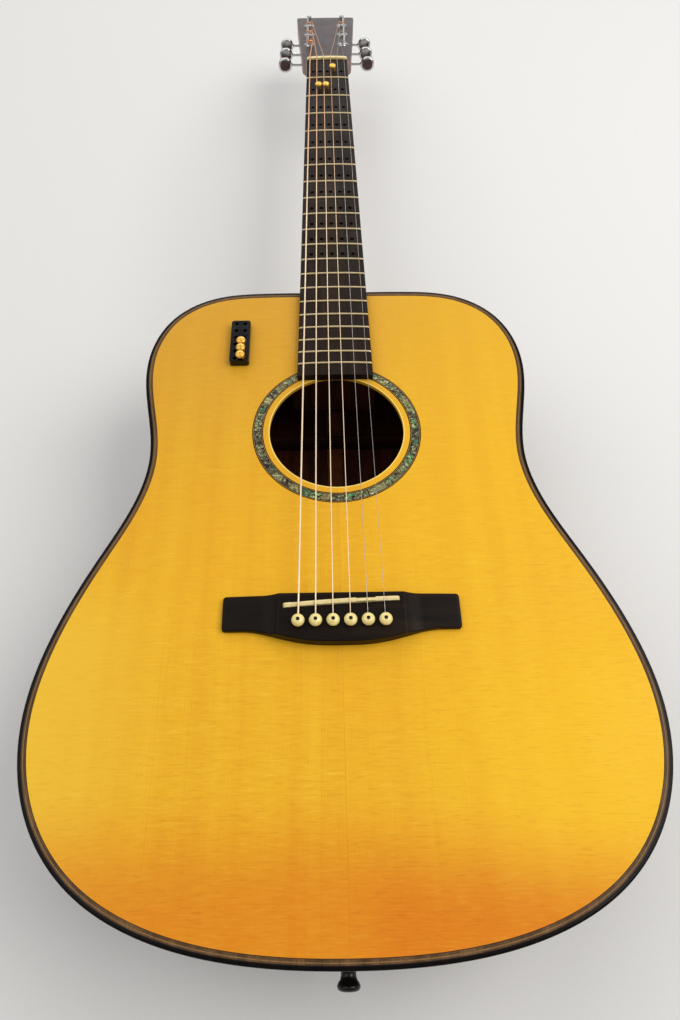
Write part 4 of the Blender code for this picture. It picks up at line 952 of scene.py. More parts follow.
for sign, side in ((-1, "bass"), (1, "treble")):
    part("side_wall_" + side, side_wall(sign), "rosewood_gloss", "rosewood", "side_" + side)
part("back_sheet", back_sheet(), "rosewood_gloss", "rosewood", "back_plate")
back_inlay("back_inlay_strip", -STRIPE_HALF, STRIPE_HALF, 0.00004, "purfling_brown")
for sign, side in ((-1, "bass"), (1, "treble")):
    back_inlay("back_inlay_line_" + side, sign * STRIPE_HALF, sign * STRIPE_EDGE, 0.00005,
               "line_light")

# ------------------------------------------------------------------ kerfed lining
KERF_PITCH = 0.0056
KERF_BLOCK = 0.0047  # length of a block
LINING_HEIGHT = 0.0143


def kerfed(near, far, on_back, neck_gap):
    """Blocks on a thin strip with open saw kerfs, between two levels near and far."""
    strip_out, strip_in, tip = (half_outline(inset, 150) for inset in (0.0024, 0.0037, 0.0084))
    run = path_length(strip_out)
    verts, faces = [], []

    def at(line, distance):
        return np.array([np.interp(distance, run, line[:, k]) for k in (0, 1)])

    for sign in (-1, 1):

        def corner(x, y, level, guide):
            z = back_z(guide[0], guide[1]) + level if on_back else level
            return (sign * x, y, z)

        for start in np.arange(0.0006, run[-1] - 0.005, KERF_PITCH):
            ends = (start, start + KERF_BLOCK)
            outers = [at(strip_out, end) for end in ends]
            tips = [at(tip, end) for end in ends]
            tip_x = min(tips[0][0], tips[1][0])
            if (tip_x < neck_gap and tips[0][1] > 0.2) or tip_x < 0.0002:
                continue
            lean = 0.35 * (far - near)
            base = len(verts)
            for outer, inner in zip(outers, tips):
                verts.extend([
                    corner(*outer, near, outer),
                    corner(*inner, near, inner),
                    corner(*inner, near + lean, inner),
                    corner(*(outer * 0.72 + inner * 0.28), far, outer),
                    corner(*outer, far, outer),
                ])
            for k in range(5):
                j = (k + 1) % 5
                faces.append((base + k, base + j, base + 5 + j, base + 5 + k))
            faces.append(tuple(range(base, base + 5)))
            faces.append(tuple(range(base + 9, base + 4, -1)))
        base, count = len(verts), 0
        for outer, inner in zip(strip_out[::3], strip_in[::3]):
            if (outer[1] > 0.2 and inner[0] < neck_gap) or inner[0] < 0.0002:
                continue
            verts.extend([corner(*outer, near, outer), corner(*inner, near, inner),
                          corner(*inner, far * 0.97 + near * 0.03, inner),
                          corner(*outer, far, outer)])
            count += 1
        for i in range(count - 1):
            a = base + i * 4
            for k in range(4):
                j = (k + 1) % 4
                faces.append((a + k, a + j, a + 4 + j, a + 4 + k))
        faces.append((base, base + 1, base + 2, base + 3))
        faces.append(tuple(base + (count - 1) * 4 + k for k in (3, 2, 1, 0)))
    return mesh_of(verts, faces)


top_lining = kerfed(-TOP_THICK - 0.0001, -TOP_THICK - LINING_HEIGHT, False, neck_gap=0.0096)
part("kerfed_lining_top", top_lining, "lining_cedar", "lining_wood", "top_lining", angle=25)
back_lining = kerfed(BACK_THICK + 0.0001, BACK_THICK + LINING_HEIGHT, True, neck_gap=0.0)
part("kerfed_lining_back", back_lining, "lining_cedar", "lining_wood", "back_lining", angle=25)

# ------------------------------------------------------------------ bracing
X_ANGLE = radians(41)
X_CROSS_Y = 0.070
X_REACH_LOW = 0.226  # from the crossing to the ends towards the tail
X_REACH_HIGH = 0.176
TONE_TILT = radians(-20)


def brace(name, start, end, width, height, node=None, ends=0.35, scallop=0.0,
          finish="brace_wood", on_back=False):
    """A glued bar with a rounded crest, tapered ends and, if asked, scalloped dips.

    It hangs under the top or, with on_back, stands on the back."""
    start, end = Vector((*start, 0.0)), Vector((*end, 0.0))
    along = end - start
    side = Vector((-along.y, along.x, 0.0)) / along.length
    up = 1 if on_back else -1
    sections = []
    for t in linspace(0, 1, 41):
        edge = min(t, 1 - t) / ends
        tall = height * (0.22 + 0.78 * (sin(min(edge, 1.0) * pi / 2) ** 1.4))
        tall -= scallop * sum(exp(-(((t - dip) / 0.09) ** 2)) for dip in (0.25, 0.75))
        middle = start + along * t
        base = back_z(middle.x, middle.y) + BACK_THICK if on_back else -TOP_THICK
        ring = [(middle + side * (width / 2))[:2] + (base,)]
        for a in linspace(0, pi, 9):
            rise = tall * (0.55 + 0.45 * sin(a))
            ring.append((middle + side * (width / 2 * cos(a)))[:2] + (base + up * rise,))
        ring.append((middle - side * (width / 2))[:2] + (base,))
        sections.append(ring)
    part(name, loft(sections), finish, "brace_spruce", node)


for k, sign in enumerate((1, -1)):
    step_x, step_y = cos(X_ANGLE), sign * sin(X_ANGLE)
    bass, treble = (X_REACH_LOW, X_REACH_HIGH)[::sign]
    brace("x_brace_leg_%d" % (k + 1), (-step_x * bass, X_CROSS_Y - step_y * bass),
          (step_x * treble, X_CROSS_Y + step_y * treble), 0.008, 0.015,
          node=None if k else "x_brace", ends=0.2, scallop=0.005)
brace("upper_bar", (-0.136, 0.211), (0.136, 0.211), 0.012, 0.014,
      node="upper_transverse_brace", ends=0.12)
tone_x, tone_y = 0.09 * cos(TONE_TILT), 0.09 * sin(TONE_TILT)
brace("tone_bar_lower", (-tone_x, -0.092 - tone_y), (tone_x, -0.092 + tone_y), 0.0075, 0.011,
      node="tone_bar", scallop=0.003)
for sign, side in ((-1, "bass"), (1, "treble")):
    brace("finger_brace_" + side, (sign * 0.110, 0.062), (sign * 0.160, 0.036), 0.006, 0.007,
          ends=0.45)
    brace("soundhole_brace_" + side, (sign * 0.0665, 0.120), (sign * 0.0665, 0.168),
          0.012, 0.004, ends=0.45, finish="brace_wood_y")
patch_outline = [(-0.060, 0.008), (-0.092, -0.038), (0.092, -0.038), (0.060, 0.008)]
part("bridge_patch", plate([patch_outline] + PIN_HOLES, -TOP_THICK - 0.0028, -TOP_THICK, 0.0004),
     "mahogany_raw", "mahogany", "bridge_plate")
# Back braces: node, y, half length, width, height.
for node, y, half, width, height in (
    ("back_brace_upper", 0.200, 0.134, 0.008, 0.0150),
    ("back_brace_waist", 0.085, 0.124, 0.008, 0.0150),
    ("back_brace_lower", -0.070, 0.177, 0.014, 0.0120),
):
    brace(node + "_bar", (-half, y), (half, y), width, height, node=node, ends=0.16,
          finish="brace_mahogany", on_back=True)


def seam_strip():
    """Low strip with eased shoulders along the inside of the back's centre seam."""
    section = [(-0.0075, 0), (0.0075, 0), (0.0070, 0.0014), (0.0055, 0.0021),
               (-0.0055, 0.0021), (-0.0070, 0.0014)]
    rows = linspace(-0.158, 0.236, 60)
    return loft([[(x, y, back_z(0, y) + BACK_THICK + rise) for x, rise in section] for y in rows])


part("back_seam_strip", seam_strip(), "strip_mahogany", "brace_spruce", "back_centre_strip")
for node in ("neck_block", "tail_block"):
    materials = frame["nodes"][node].data.materials
    materials.clear()
    materials.append(MATERIALS["mahogany_raw"])

# ------------------------------------------------------------------ neck and headstock
HEEL_Y = 0.2889
HEEL_LOW = -0.0962
ROD_Z = -0.0090
ROD_START_Y = 0.1955
ROD_END_Y = 0.6355
# Heel, from the fretboard down: z, half width, length.
HEEL_STATIONS = np.array([
    (-0.0050, 0.0275, 0.075), (-0.0120, 0.0262, 0.056), (-0.0200, 0.0240, 0.041),
    (-0.0320, 0.0208, 0.031), (-0.0500, 0.0172, 0.025), (-0.0720, 0.0146, 0.0215),
    (HEEL_LOW, 0.0128, 0.0195),
])[::-1]
SHAFT_END_Y = HEAD_START_Y - 0.004
# Neck running into the headstock: y, half width, depth, top z, squareness.
VOLUTE_STATIONS = (
    (SHAFT_END_Y, 0.0222, 0.0146, 0.0, 2.25),
    (HEAD_START_Y + 0.010, 0.0235, 0.0138, -0.0034, 2.8),
    (HEAD_START_Y + 0.026, 0.0250, 0.0132, -0.0072, 4.0),
)


def neck_section(y, half, depth, top_z, square):
    """Lower half of a superellipse."""
    ring = []
    for k in range(31):
        a = pi * k / 30
        drop = depth * abs(sin(a)) ** (2 / square)
        ring.append((half * swelled(cos(a), 2 / square), y, top_z - drop))
    return ring


def neck_shaft():
    first = HEEL_Y - 0.010
    sections = []
    for t in linspace(0, 1, 25):
        y = first + (SHAFT_END_Y - first) * t
        half = board_half(min(y, SCALE_LENGTH))
        sections.append(neck_section(y, half, 0.0146 + 0.0020 * (1 - t), 0.0, 2.25))
    for station, following in zip(VOLUTE_STATIONS, VOLUTE_STATIONS[1:]):
        for t in linspace(0, 1, 9)[1:]:
            values = [here + (there - here) * t for here, there in zip(station, following)]
            sections.append(neck_section(*values))
    return loft(sections)


def heel_levels():
    """Level outlines of the heel, from the fretboard down."""
    levels = []
    for z in linspace(HEEL_LOW, -0.0050, 46)[::-1]:
        half, length = (np.interp(z, HEEL_STATIONS[:, 0], HEEL_STATIONS[:, k]) for k in (1, 2))
        ring = [(-half, HEEL_Y - 0.0120, z), (half, HEEL_Y - 0.0120, z)]
        for k in range(33):
            a = pi * k / 32
            y = HEEL_Y + length * max(sin(a), 0.0) ** 0.95
            ring.append((half * swelled(cos(a), 0.85), y, z))
        levels.append(ring)
    return levels


def head_half(along):
    share = min(max((along - 0.014) / (HEAD_LENGTH - 0.014), 0.0), 1.0)
    return 0.0275 + (0.0372 - 0.0275) * share


def soft_corner(points):
    """Corner cutting of an open polyline, twice over, ends kept."""
    for _ in range(2):
        out = [points[0]]
        for (x0, y0), (x1, y1) in zip(points, points[1:]):
            out.append((x0 * 0.8 + x1 * 0.2, y0 * 0.8 + y1 * 0.2))
            out.append((x0 * 0.2 + x1 * 0.8, y0 * 0.2 + y1 * 0.8))
        out.append(points[-1])
        points = out
    return points


# Treble half of the headstock: x, distance along it.
HEAD_HALF = soft_corner([
    (0.0225, 0.0003), (0.0237, 0.0060), (0.0260, 0.0115), (0.0283, 0.0180),
    (head_half(0.060), 0.060), (head_half(0.120), 0.120),
    (0.0370, 0.1850), (0.0350, 0.1892), (0.0200, 0.1900),
])
HEAD_OUTLINE = HEAD_HALF + [(-x, y) for x, y in HEAD_HALF[::-1]]
# Posts in string order: up the bass side, down the treble side.
POSTS = [(-x, along) for x, along in zip(POST_X, POST_ALONG)]
POSTS += list(zip(POST_X, POST_ALONG))[::-1]
HEAD_LOOPS = [HEAD_OUTLINE]
HEAD_LOOPS += [circle(x, along, POST_RADIUS + 0.0006, 28) for x, along in POSTS]


def neck():
    """Shaft, headstock and heel, with a tenon into the body and a bore for the rod."""
    head = plate(HEAD_LOOPS, -HEAD_THICK, 0.0, 0.0012, head_matrix(), 3)
    mesh = cut(neck_shaft(), head, "UNION")
    mesh = cut(mesh, loft(heel_levels()), "UNION")
    mesh = cut(mesh, block((-0.06, 0.20, -0.15), (0.06, HEEL_Y, 0.05)))
    tenon = block((-0.0090, 0.2712, -0.0800), (0.0090, HEEL_Y + 0.006, -0.0066))
    mesh = cut(mesh, tenon, "UNION")
    bore = between((0, 0.26, ROD_Z), (0, 0.64, ROD_Z))
    return cut(mesh, turned([(0.0029, 0.0), (0.0029, 0.376)], 16, bore))


part("neck_shaft_heel_head", neck(), "mahogany_satin", "mahogany", "neck", angle=34)
cap = [(x, y) for x, y, _ in heel_levels()[-1]]
cap[:2] = [(x, HEEL_Y + 0.0002) for x, _ in cap[:2]]
part("heel_cap", plate([cap], -0.0985, -0.0963, 0.0005), "binding_black", "rosewood")
part("headstock_face", plate(HEAD_LOOPS, 0.0, 0.0018, 0.0004, head_matrix()), "head_veneer",
     "headstock_veneer", "headstock_veneer")


def truss_rod():
    """Rod with a thicker nut at its tail end, which has a hexagonal socket."""
    place = moved(0, ROD_START_Y, ROD_Z) @ spun("X")
    far = ROD_START_Y - ROD_END_Y
    rod = turned([(0.0, 0.0), (0.0036, 0.0), (0.0040, -0.0004), (0.0040, -0.0082),
                  (0.0034, -0.0090), (0.0024, -0.0095), (0.0024, far), (0.0, far)], 24, place)
    socket = turned([(0.0, 0.0005), (0.0023, 0.0005), (0.0023, -0.0060), (0.0, -0.0060)], 6, place)
    return cut(rod, socket)


part("truss_rod_bar", truss_rod(), "rod_steel", "truss_steel", "truss_rod", "truss_rod")

# ------------------------------------------------------------------ fretboard, frets, nut
BOARD_END_Y = 0.1911
FRET_HALF = 0.0007
FRET_HEIGHT = 0.0010
NUT_LENGTH = 0.0055


def board():
    sections = []
    for y in linspace(BOARD_END_Y, SCALE_LENGTH, 40):
        half = board_half(y)
        edge_z = BOARD_Z + crown(half) - 0.0005
        ring = [(half, y, 0.0001), (half, y, edge_z)]
        for share in linspace(1, -1, 25):
            x = share * (half - 0.0004)
            ring.append((x, y, BOARD_Z + crown(x)))
        ring += [(-half, y, edge_z), (-half, y, 0.0001)]
        sections.append(ring)
    # Peg holes between the strings, two thirds of the way along each of the first 12 spaces.
    drills = []
    for space in range(1, 13):
        y = fret_y(space - 1) + (fret_y(space) - fret_y(space - 1)) * 0.667
        for i in range(5):
            x = (string_x(i, y) + string_x(i + 1, y)) / 2
            drills.append(turned([(0.0015, -0.0050), (0.0015, -0.0022), (0.0019, -0.0018),
                                  (0.0019, 0.002)], 18, moved(x, y, BOARD_Z)))
    return cut(loft(sections), joined(*drills))


def fret(number):
    y = fret_y(number)
    half = board_half(y) - 0.0003
    ends = [1.0, 0.997, 0.988, 0.97, 0.95]
    sections = []
    for share in ends + list(linspace(0.92, -0.92, 23)) + [-end for end in ends[::-1]]:
        x = share * half
        z = BOARD_Z + crown(x)
        inside = (1 - abs(share)) * half / 0.0016
        tall = FRET_HEIGHT * sqrt(max(0.02, 1 - max(0.0, 1 - inside) ** 2))
        ring = [(x, y - FRET_HALF, z - 0.0002)]
        for a in linspace(0, pi, 11):
            ring.append((x, y - FRET_HALF * cos(a), z + tall * sin(a)))
        ring.append((x, y + FRET_HALF, z - 0.0002))
        sections.append(ring)
    return loft(sections)


def end_drop(edge):
    """Rounding of a crest's ends; edge reaches 1 where the rounding stops."""
    return 0.0010 * (1 - sqrt(max(0.0, 1 - (1 - edge) ** 2))) if edge < 1 else 0.0


def nut():
    """Nut with a round slot for each string."""
    low, high = SCALE_LENGTH + GAP, SCALE_LENGTH + GAP + NUT_LENGTH
    stations = set(linspace(-NUT_WIDTH / 2, NUT_WIDTH / 2, 24))
    for i, radius in enumerate(STRING_RADIUS):
        for t in linspace(-1.25, 1.25, 11):
            stations.add(string_x(i, SCALE_LENGTH) + t * radius)
    sections = []
    for x in sorted(stations):
        crest = 0.0087 + crown(x) * 1.1
        for i, radius in enumerate(STRING_RADIUS):
            away = abs(x - string_x(i, SCALE_LENGTH)) / radius
            if away < 1.0:
                floor = string_bottom(i, SCALE_LENGTH) + radius * (1 - sqrt(1 - away * away))
                crest = min(crest, floor)
        crest -= end_drop((NUT_WIDTH / 2 - abs(x)) / 0.0012)
        sections.append([
            (x, low, 0.0001), (x, low, crest - 0.0006), (x, low + 0.0003, crest - 0.0001),
            (x, low + 0.0010, crest), (x, high - 0.0018, crest - 0.0003),
            (x, high - 0.0004, crest - 0.0012), (x, high, crest - 0.0020), (x, high, 0.0001),
        ])
    return loft(sections)


part("fretboard_slab", board(), "ebony_board", "ebony", "fretboard", angle=30)
for number in range(1, FRETS + 1):
    part("fret_%02d" % number, fret(number), "fret_wire", "nickel", angle=60)
part("nut_slotted", nut(), "bone_nut", "bone", "nut", angle=50)

# ------------------------------------------------------------------ bridge, saddle, pins
BRIDGE_TOP = 0.0089
BRIDGE_HALF = 0.0768
BRIDGE_FRONT_Y = 0.0076
BRIDGE_FULL_HALF = 0.0748  # where the rounding of the ends begins
BRIDGE_END_ROUND = 0.002
SADDLE_HALF = 0.0375
SADDLE_HALF_THICK = 0.00145
SADDLE_PLACE = moved(0.0, saddle_y(0.0), 0.0) @ spun("Z", atan(SADDLE_SLOPE))


def bridge_back(x):
    """Tail edge of the bridge, with its belly."""
    x = abs(x)
    return -0.0158 - (0.0094 * 0.5 * (1 + cos(pi * (x / 0.064) ** 1.45)) if x < 0.064 else 0.0)


def bridge_height(x):
    """Full in the middle, then a scoop down to thin wings."""
    x = abs(x)
    if x < 0.0405:
        return BRIDGE_TOP
    if x < 0.0540:
        t = (x - 0.0405) / 0.0135
        return BRIDGE_TOP - (BRIDGE_TOP - 0.0046) * (1 - (1 - t) ** 2.2)
    return 0.0046 - 0.0012 * (x - 0.0540) / (BRIDGE_HALF - 0.0540)


def bridge():
    stations = list(linspace(-BRIDGE_FULL_HALF, BRIDGE_FULL_HALF, 91))
    for sign in (-1, 1):
        stations += [sign * x for x in linspace(0.0395, 0.056, 24)]
        stations += [sign * (BRIDGE_FULL_HALF + BRIDGE_END_ROUND * sin(a))
                     for a in linspace(0.1, pi / 2, 9)]
    sections = []
    for x in sorted(set(stations)):
        inward = 0.0
        if abs(x) > BRIDGE_FULL_HALF:
            share = (abs(x) - BRIDGE_FULL_HALF) / BRIDGE_END_ROUND
            inward = BRIDGE_END_ROUND * (1 - sqrt(max(0.0, 1 - share * share)))
        front, back = BRIDGE_FRONT_Y - inward, bridge_back(x) + inward
        height = bridge_height(x) - 0.35 * inward
        ease = min(0.0010, height * 0.3)
        low = height - ease
        ring = [(x, front, 0.0001), (x, front, low)]
        for a in linspace(0, pi / 2, 5)[1:]:
            ring.append((x, front - ease + ease * cos(a), low + ease * sin(a)))
        for t in linspace(0, 1, 9)[1:-1]:
            y = front - ease + (back + ease - front + ease) * t
            ring.append((x, y, height + 0.00012 * sin(pi * t)))
        for a in linspace(pi / 2, 0, 5):
            ring.append((x, back + ease - ease * cos(a), low + ease * sin(a)))
        ring.append((x, back, 0.0001))
        sections.append(ring)
    rim = PIN_HOLE_RADIUS + 0.0010
    sink = [(0.0, BRIDGE_TOP - 0.0012), (PIN_HOLE_RADIUS, BRIDGE_TOP - 0.0011),
            (rim, BRIDGE_TOP + 0.0001), (rim, BRIDGE_TOP + 0.002), (0.0, BRIDGE_TOP + 0.002)]
    mesh = cut(loft(sections), joined(*[plate([hole], -0.002, 0.02) for hole in PIN_HOLES]))
    mesh = cut(mesh, joined(*[turned(sink, 24, moved(x, PIN_Y, 0)) for x in PIN_X]))
    slot = block((-0.0378, -0.0016, 0.0040), (0.0378, 0.0016, 0.02), SADDLE_PLACE)
    return cut(mesh, slot)


def fade(distance):
    """Drops from 1 to 0 over a few tenths of a millimetre."""
    return 1 / (1 + exp(min(40.0, distance / 0.0001)))


def saddle():
    """The crest is set back for the B string, and the bass end is left full."""
    full_x, b_start, b_end = -0.0322, 0.0095, 0.0220
    offsets = (-0.0006, -0.0003, -0.0001, 0.0001, 0.0003, 0.0006)
    steps = [x + offset for x in (full_x, b_start, b_end) for offset in offsets]
    half = SADDLE_HALF_THICK
    sections = []
    for x in sorted(list(linspace(-SADDLE_HALF, SADDLE_HALF, 81)) + steps):
        b_string = fade(b_start - x) if x < 0.0158 else fade(x - b_end)
        ridge = 0.0005 - 0.0012 * b_string + 0.0004 * fade(x - full_x)
        crest = STRING_Z_SADDLE + crown(x) - 0.00002
        crest -= end_drop((SADDLE_HALF - abs(x)) / 0.0020)
        front = crest - 0.0002 - 0.8 * (half - ridge)
        back = crest - 0.0002 - 0.35 * (ridge + half)
        sections.append([
            (x, -half, 0.0043), (x, half, 0.0043), (x, half, front),
            (x, (ridge + half) / 2 + 0.00015, (front + crest) / 2 + 0.00005),
            (x, ridge + 0.00025, crest - 0.00003), (x, ridge, crest),
            (x, ridge - 0.00025, crest - 0.00003),
            (x, (ridge - half) / 2 - 0.00015, (back + crest) / 2 + 0.00005), (x, -half, back),
        ])
    return loft(sections, matrix=SADDLE_PLACE)


PIN_PROFILE = [
    (0.0, 0.01415), (0.0012, 0.01415), (0.00125, 0.0147), (0.0024, 0.0145), (0.0034, 0.0139),
    (0.0040, 0.0130), (0.0042, 0.0121), (0.0041, 0.0114), (0.0036, 0.0109), (0.0030, 0.0106),
    (0.0026, 0.0101), (0.00235, 0.0096), (0.0018, -0.0110), (0.0014, -0.0126), (0.0, -0.0132),
]
PIN_DOT_PROFILE = [(0.0, 0.0141), (0.00118, 0.0141), (0.00118, 0.01475), (0.0007, 0.01492),
                   (0.0, 0.01497)]

part("bridge_belly", bridge(), "ebony_bridge", "ebony", "bridge", angle=32)
part("saddle_shaped", saddle(), "bone_saddle", "bone", "saddle", angle=50)
for label in STRING_NAMES:
    node = "bridge_pin_" + label
    low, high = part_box(node)
    middle = (low + high) / 2 - SHIFT
    place = moved(middle.x, middle.y, 0.0)
    groove = block((-0.0007, 0.0009, -0.02), (0.0007, 0.0040, 0.0104), place)
    pin = cut(turned(PIN_PROFILE, 36, place), groove)
    part("pin_" + label, pin, "pin_cream", "pin_plastic", node, node)
    dot = turned(PIN_DOT_PROFILE, 20, place)
    part("pin_dot_" + label, dot, "pin_dot", "pin_plastic", body=node)

# ------------------------------------------------------------------ strings
WRAP_PITCH = (0.00060, 0.00052, 0.00046, 0.00040)  # of the four wound strings
WOUND = len(WRAP_PITCH)
COIL_RISE = 0.0066  # height of the coil on its post
BALL_PROFILE = [(0.0008, -0.0013), (0.0021, -0.0013), (0.0023, 0.0), (0.0021, 0.0013),
                (0.0008, 0.0013)]


def spaced(points, pitch):
    """Points along the path: two to each wrap, at every corner of the path as well."""
    out = []
    for start, end in zip(points, points[1:]):
        start, end = np.array(start), np.array(end)
        count = max(2, int(np.linalg.norm(end - start) / (pitch / 2)))
        out.extend([start + (end - start) * t for t in np.arange(count) / count])
    out.append(np.array(points[-1]))
    return out


def string_path(i):
    """From the ball end, over saddle and nut, to the post."""
    radius, x, y = STRING_RADIUS[i], PIN_X[i], PIN_Y + 0.0032
    post_x, along = POSTS[i]
    turn = copysign(0.00285 + radius + 0.0001, post_x)
    y_nut = SCALE_LENGTH + 0.0012
    x_nut, z_nut = string_x(i, y_nut), string_bottom(i, y_nut) + radius
    x_saddle = string_x(i, 0.0)
    y_saddle, z_saddle = saddle_y(x_saddle), string_bottom(i, 0.0) + radius
    z_bridge = BRIDGE_TOP + radius
    return [
        (x, y, -0.0062),
        (x, y, z_bridge - 0.0004),
        (x, y + 0.0002, z_bridge - 0.0001),
        (x * 0.999, y + 0.0008, z_bridge + 0.0002),
        (x_saddle, y_saddle - 0.0009, z_saddle - 0.0001),
        (x_saddle, y_saddle, z_saddle + 0.00001),
        (x_saddle, y_saddle + 0.0009, z_saddle),
        (x_nut, y_nut, z_nut),
        (x_nut, y_nut + 0.0022, z_nut - 0.0002),
        (x_nut * 1.002, y_nut + 0.0044, z_nut - 0.0009),
        tuple(head_point(post_x - turn, along - 0.0004, COIL_RISE)),
    ]


for i, label in enumerate(STRING_NAMES):
    radius = STRING_RADIUS[i]
    path = string_path(i)
    if i < WOUND:
        points = spaced(path, WRAP_PITCH[i])
        wraps = np.where(np.arange(len(points)) % 2 == 0, radius, radius * 0.86)
        wire = tube(points, wraps, 8)
    else:
        wire = tube(spaced(path, 0.02), radius, 10)
    x, y, _ = path[0]
    lock = tube([(x, y, -0.0060 + 0.0006 * k) for k in range(4)],
                [radius * 1.35, radius * 1.5, radius * 1.5, radius * 1.3], 8)
    part("wire_" + label, joined(wire, lock), "bronze_wrap" if i < WOUND else "plain_wire",
         "bronze_wound" if i < WOUND else "plain_steel", "string_" + label, angle=70)
    ball = turned(BALL_PROFILE, 20, moved(x, y, -0.0074) @ spun("X"))
    part("ball_end_" + label, ball, "nickel_part", "plain_steel")

# ------------------------------------------------------------------ tuning machines
POST_TOP = 0.0128  # rises above the headstock's face
EYE_RISE = 0.0103
GEAR_TEETH = 14
GEAR_RADIUS = 0.0052
GEAR_DEPTH = 0.0050
TOOTH_DEPTH = 0.0011
WORM_RADIUS = 0.0024
WORM_RISE = -0.0208
WORM_OFFSET = GEAR_RADIUS + WORM_RADIUS + 0.0004  # from the post, along the head
PLATE_TOP = -HEAD_THICK - 0.0001
PLATE_LOW = -HEAD_THICK - GAP - 0.0012
PLATE_OUTER = 0.0068  # edges, from the line of posts
PLATE_INNER = -0.0085
PLATE_START = POST_ALONG[0] - 0.011
PLATE_END = POST_ALONG[2] + 0.016
PLATE_ROUND = 0.004
EAR_RADIUS = 0.0034
LEAN = (POST_X[2] - POST_X[0]) / (POST_ALONG[2] - POST_ALONG[0])
BUTTON_START = 0.0420
COIL_TURNS = (2.2, 2.4, 2.8, 3.2, 4.2, 5.2)


def screw_head(name, place, radius=0.0021, height=0.0008, body=ROOT):
    mesh = turned([(0.0, -0.0003), (radius, -0.0003), (radius, 0.0),
                   (radius * 0.85, height * 0.6), (radius * 0.5, height * 0.97), (0.0, height)], 20)
    mesh.transform(place)
    part(name, mesh, "chrome_plate", "nickel", body=body)


def plate_x(side, along, shift):
    """x at a shift outward from the line of posts."""
    return side * (POST_X[0] + LEAN * (along - POST_ALONG[0]) + shift)


def tuner_plate(side):
    """Base plate with two pierced ears for each worm."""
    loop = []
    for centre, start in ((PLATE_END - PLATE_ROUND, 0), (PLATE_START + PLATE_ROUND, pi)):
        for a in linspace(start, start + pi, 13):
            shift = (PLATE_OUTER + PLATE_INNER) / 2 + (PLATE_OUTER - PLATE_INNER) / 2 * cos(a)
            loop.append((plate_x(side, centre, shift), centre + PLATE_ROUND * sin(a)))
    holes = [circle(side * x, along, POST_RADIUS + 0.0006, 24)
             for x, along in zip(POST_X, POST_ALONG)]
    pieces = [plate([loop] + holes, PLATE_LOW, PLATE_TOP, 0.0003, head_matrix())]
    for post in POST_ALONG:
        along = post + WORM_OFFSET
        flap = [(along + EAR_RADIUS, PLATE_LOW + 0.0002)]
        for a in linspace(0, pi, 11):
            flap.append((along + EAR_RADIUS * cos(a), WORM_RISE - EAR_RADIUS * sin(a) + 0.0004))
        flap.append((along - EAR_RADIUS, PLATE_LOW + 0.0002))
        for shift in (PLATE_INNER + 0.0012, PLATE_OUTER - 0.0012):
            ear = plate([flap, circle(along, WORM_RISE, 0.0018, 20)], -0.0009, 0.0009, 0.00025)
            x = plate_x(side, along, shift)
            upright = Matrix(((0, 0, 1, x), (1, 0, 0, 0), (0, 1, 0, 0), (0, 0, 0, 1)))
            ear.transform(head_matrix() @ upright)
            pieces.append(ear)
    return joined(*pieces)


for side, name in ((-1, "bass"), (1, "treble")):
    part("tuner_base_" + name, tuner_plate(side), "chrome_plate", "nickel",
         "tuner_plate_" + name, angle=35)
    # Screws: distance along the head, shift.
    spots = [(PLATE_START + 0.0032, -0.0008),
             ((POST_ALONG[0] + POST_ALONG[1]) / 2 - 0.006, 0.0),
             ((POST_ALONG[1] + POST_ALONG[2]) / 2 - 0.006, 0.0),
             (PLATE_END - 0.0032, -0.0008)]
    for k, (along, shift) in enumerate(spots):
        place = head_matrix(plate_x(side, along, shift), along, PLATE_LOW) @ spun("X", pi)
        screw_head("base_screw_%s_%d" % (name, k + 1), place)


def tuner_post(place):
    post = turned([
        (0.0, POST_TOP), (0.0022, POST_TOP), (0.0028, POST_TOP - 0.0002),
        (POST_RADIUS, POST_TOP - 0.0007), (POST_RADIUS, POST_TOP - 0.0018),
        (0.0028, EYE_RISE - 0.0004), (0.00265, COIL_RISE + 0.0020),
        (0.00265, COIL_RISE - 0.0018), (0.0028, COIL_RISE - 0.0024),
        (POST_RADIUS, COIL_RISE - 0.0028), (POST_RADIUS, PLATE_LOW - 0.0001),
        (0.0022, PLATE_LOW - 0.0002), (0.0022, PLATE_LOW - GEAR_DEPTH),
        (0.0, PLATE_LOW - GEAR_DEPTH),
    ], 32)
    eye = turned([(0.0011, -0.004), (0.0011, 0.004)], 16, moved(0, 0, EYE_RISE) @ spun("Y"))
    post = cut(post, eye)
    post.transform(place)
    return post


def string_coil(i, side, place):
    """Turns of string down the post, then through its eye."""
    wire, turns = STRING_RADIUS[i], COIL_TURNS[i]
    radius = 0.00275 + wire
    start = pi if side > 0 else 0.0
    helix = []
    for t in linspace(0, turns, int(turns * 22)):
        a = start - side * 2 * pi * t
        rise = COIL_RISE - (t - turns * 0.4) * 2.08 * wire
        helix.append((radius * cos(a), radius * sin(a), rise))
    a = start - side * 2 * pi * turns
    for t in linspace(0, 1, 5)[1:]:
        last = helix[-1][2]
        reach = radius * (1 - t)
        helix.append((reach * cos(a), reach * sin(a), last + (EYE_RISE - last) * t))
    helix.append((side * 0.0034, 0.0, EYE_RISE))
    helix.append((side * 0.0044, 0.0003, EYE_RISE + 0.0002))
    coil = tube(helix, wire, 8)
    coil.transform(place)
    return coil


def gear(place):
    teeth = []
    for k in range(GEAR_TEETH * 6):
        a = 2 * pi * k / (GEAR_TEETH * 6)
        radius = GEAR_RADIUS if k % 6 < 3 else GEAR_RADIUS - TOOTH_DEPTH
        teeth.append((radius * cos(a), radius * sin(a)))
    return plate([teeth], PLATE_LOW - GEAR_DEPTH, PLATE_LOW - GAP, 0.00015, place)


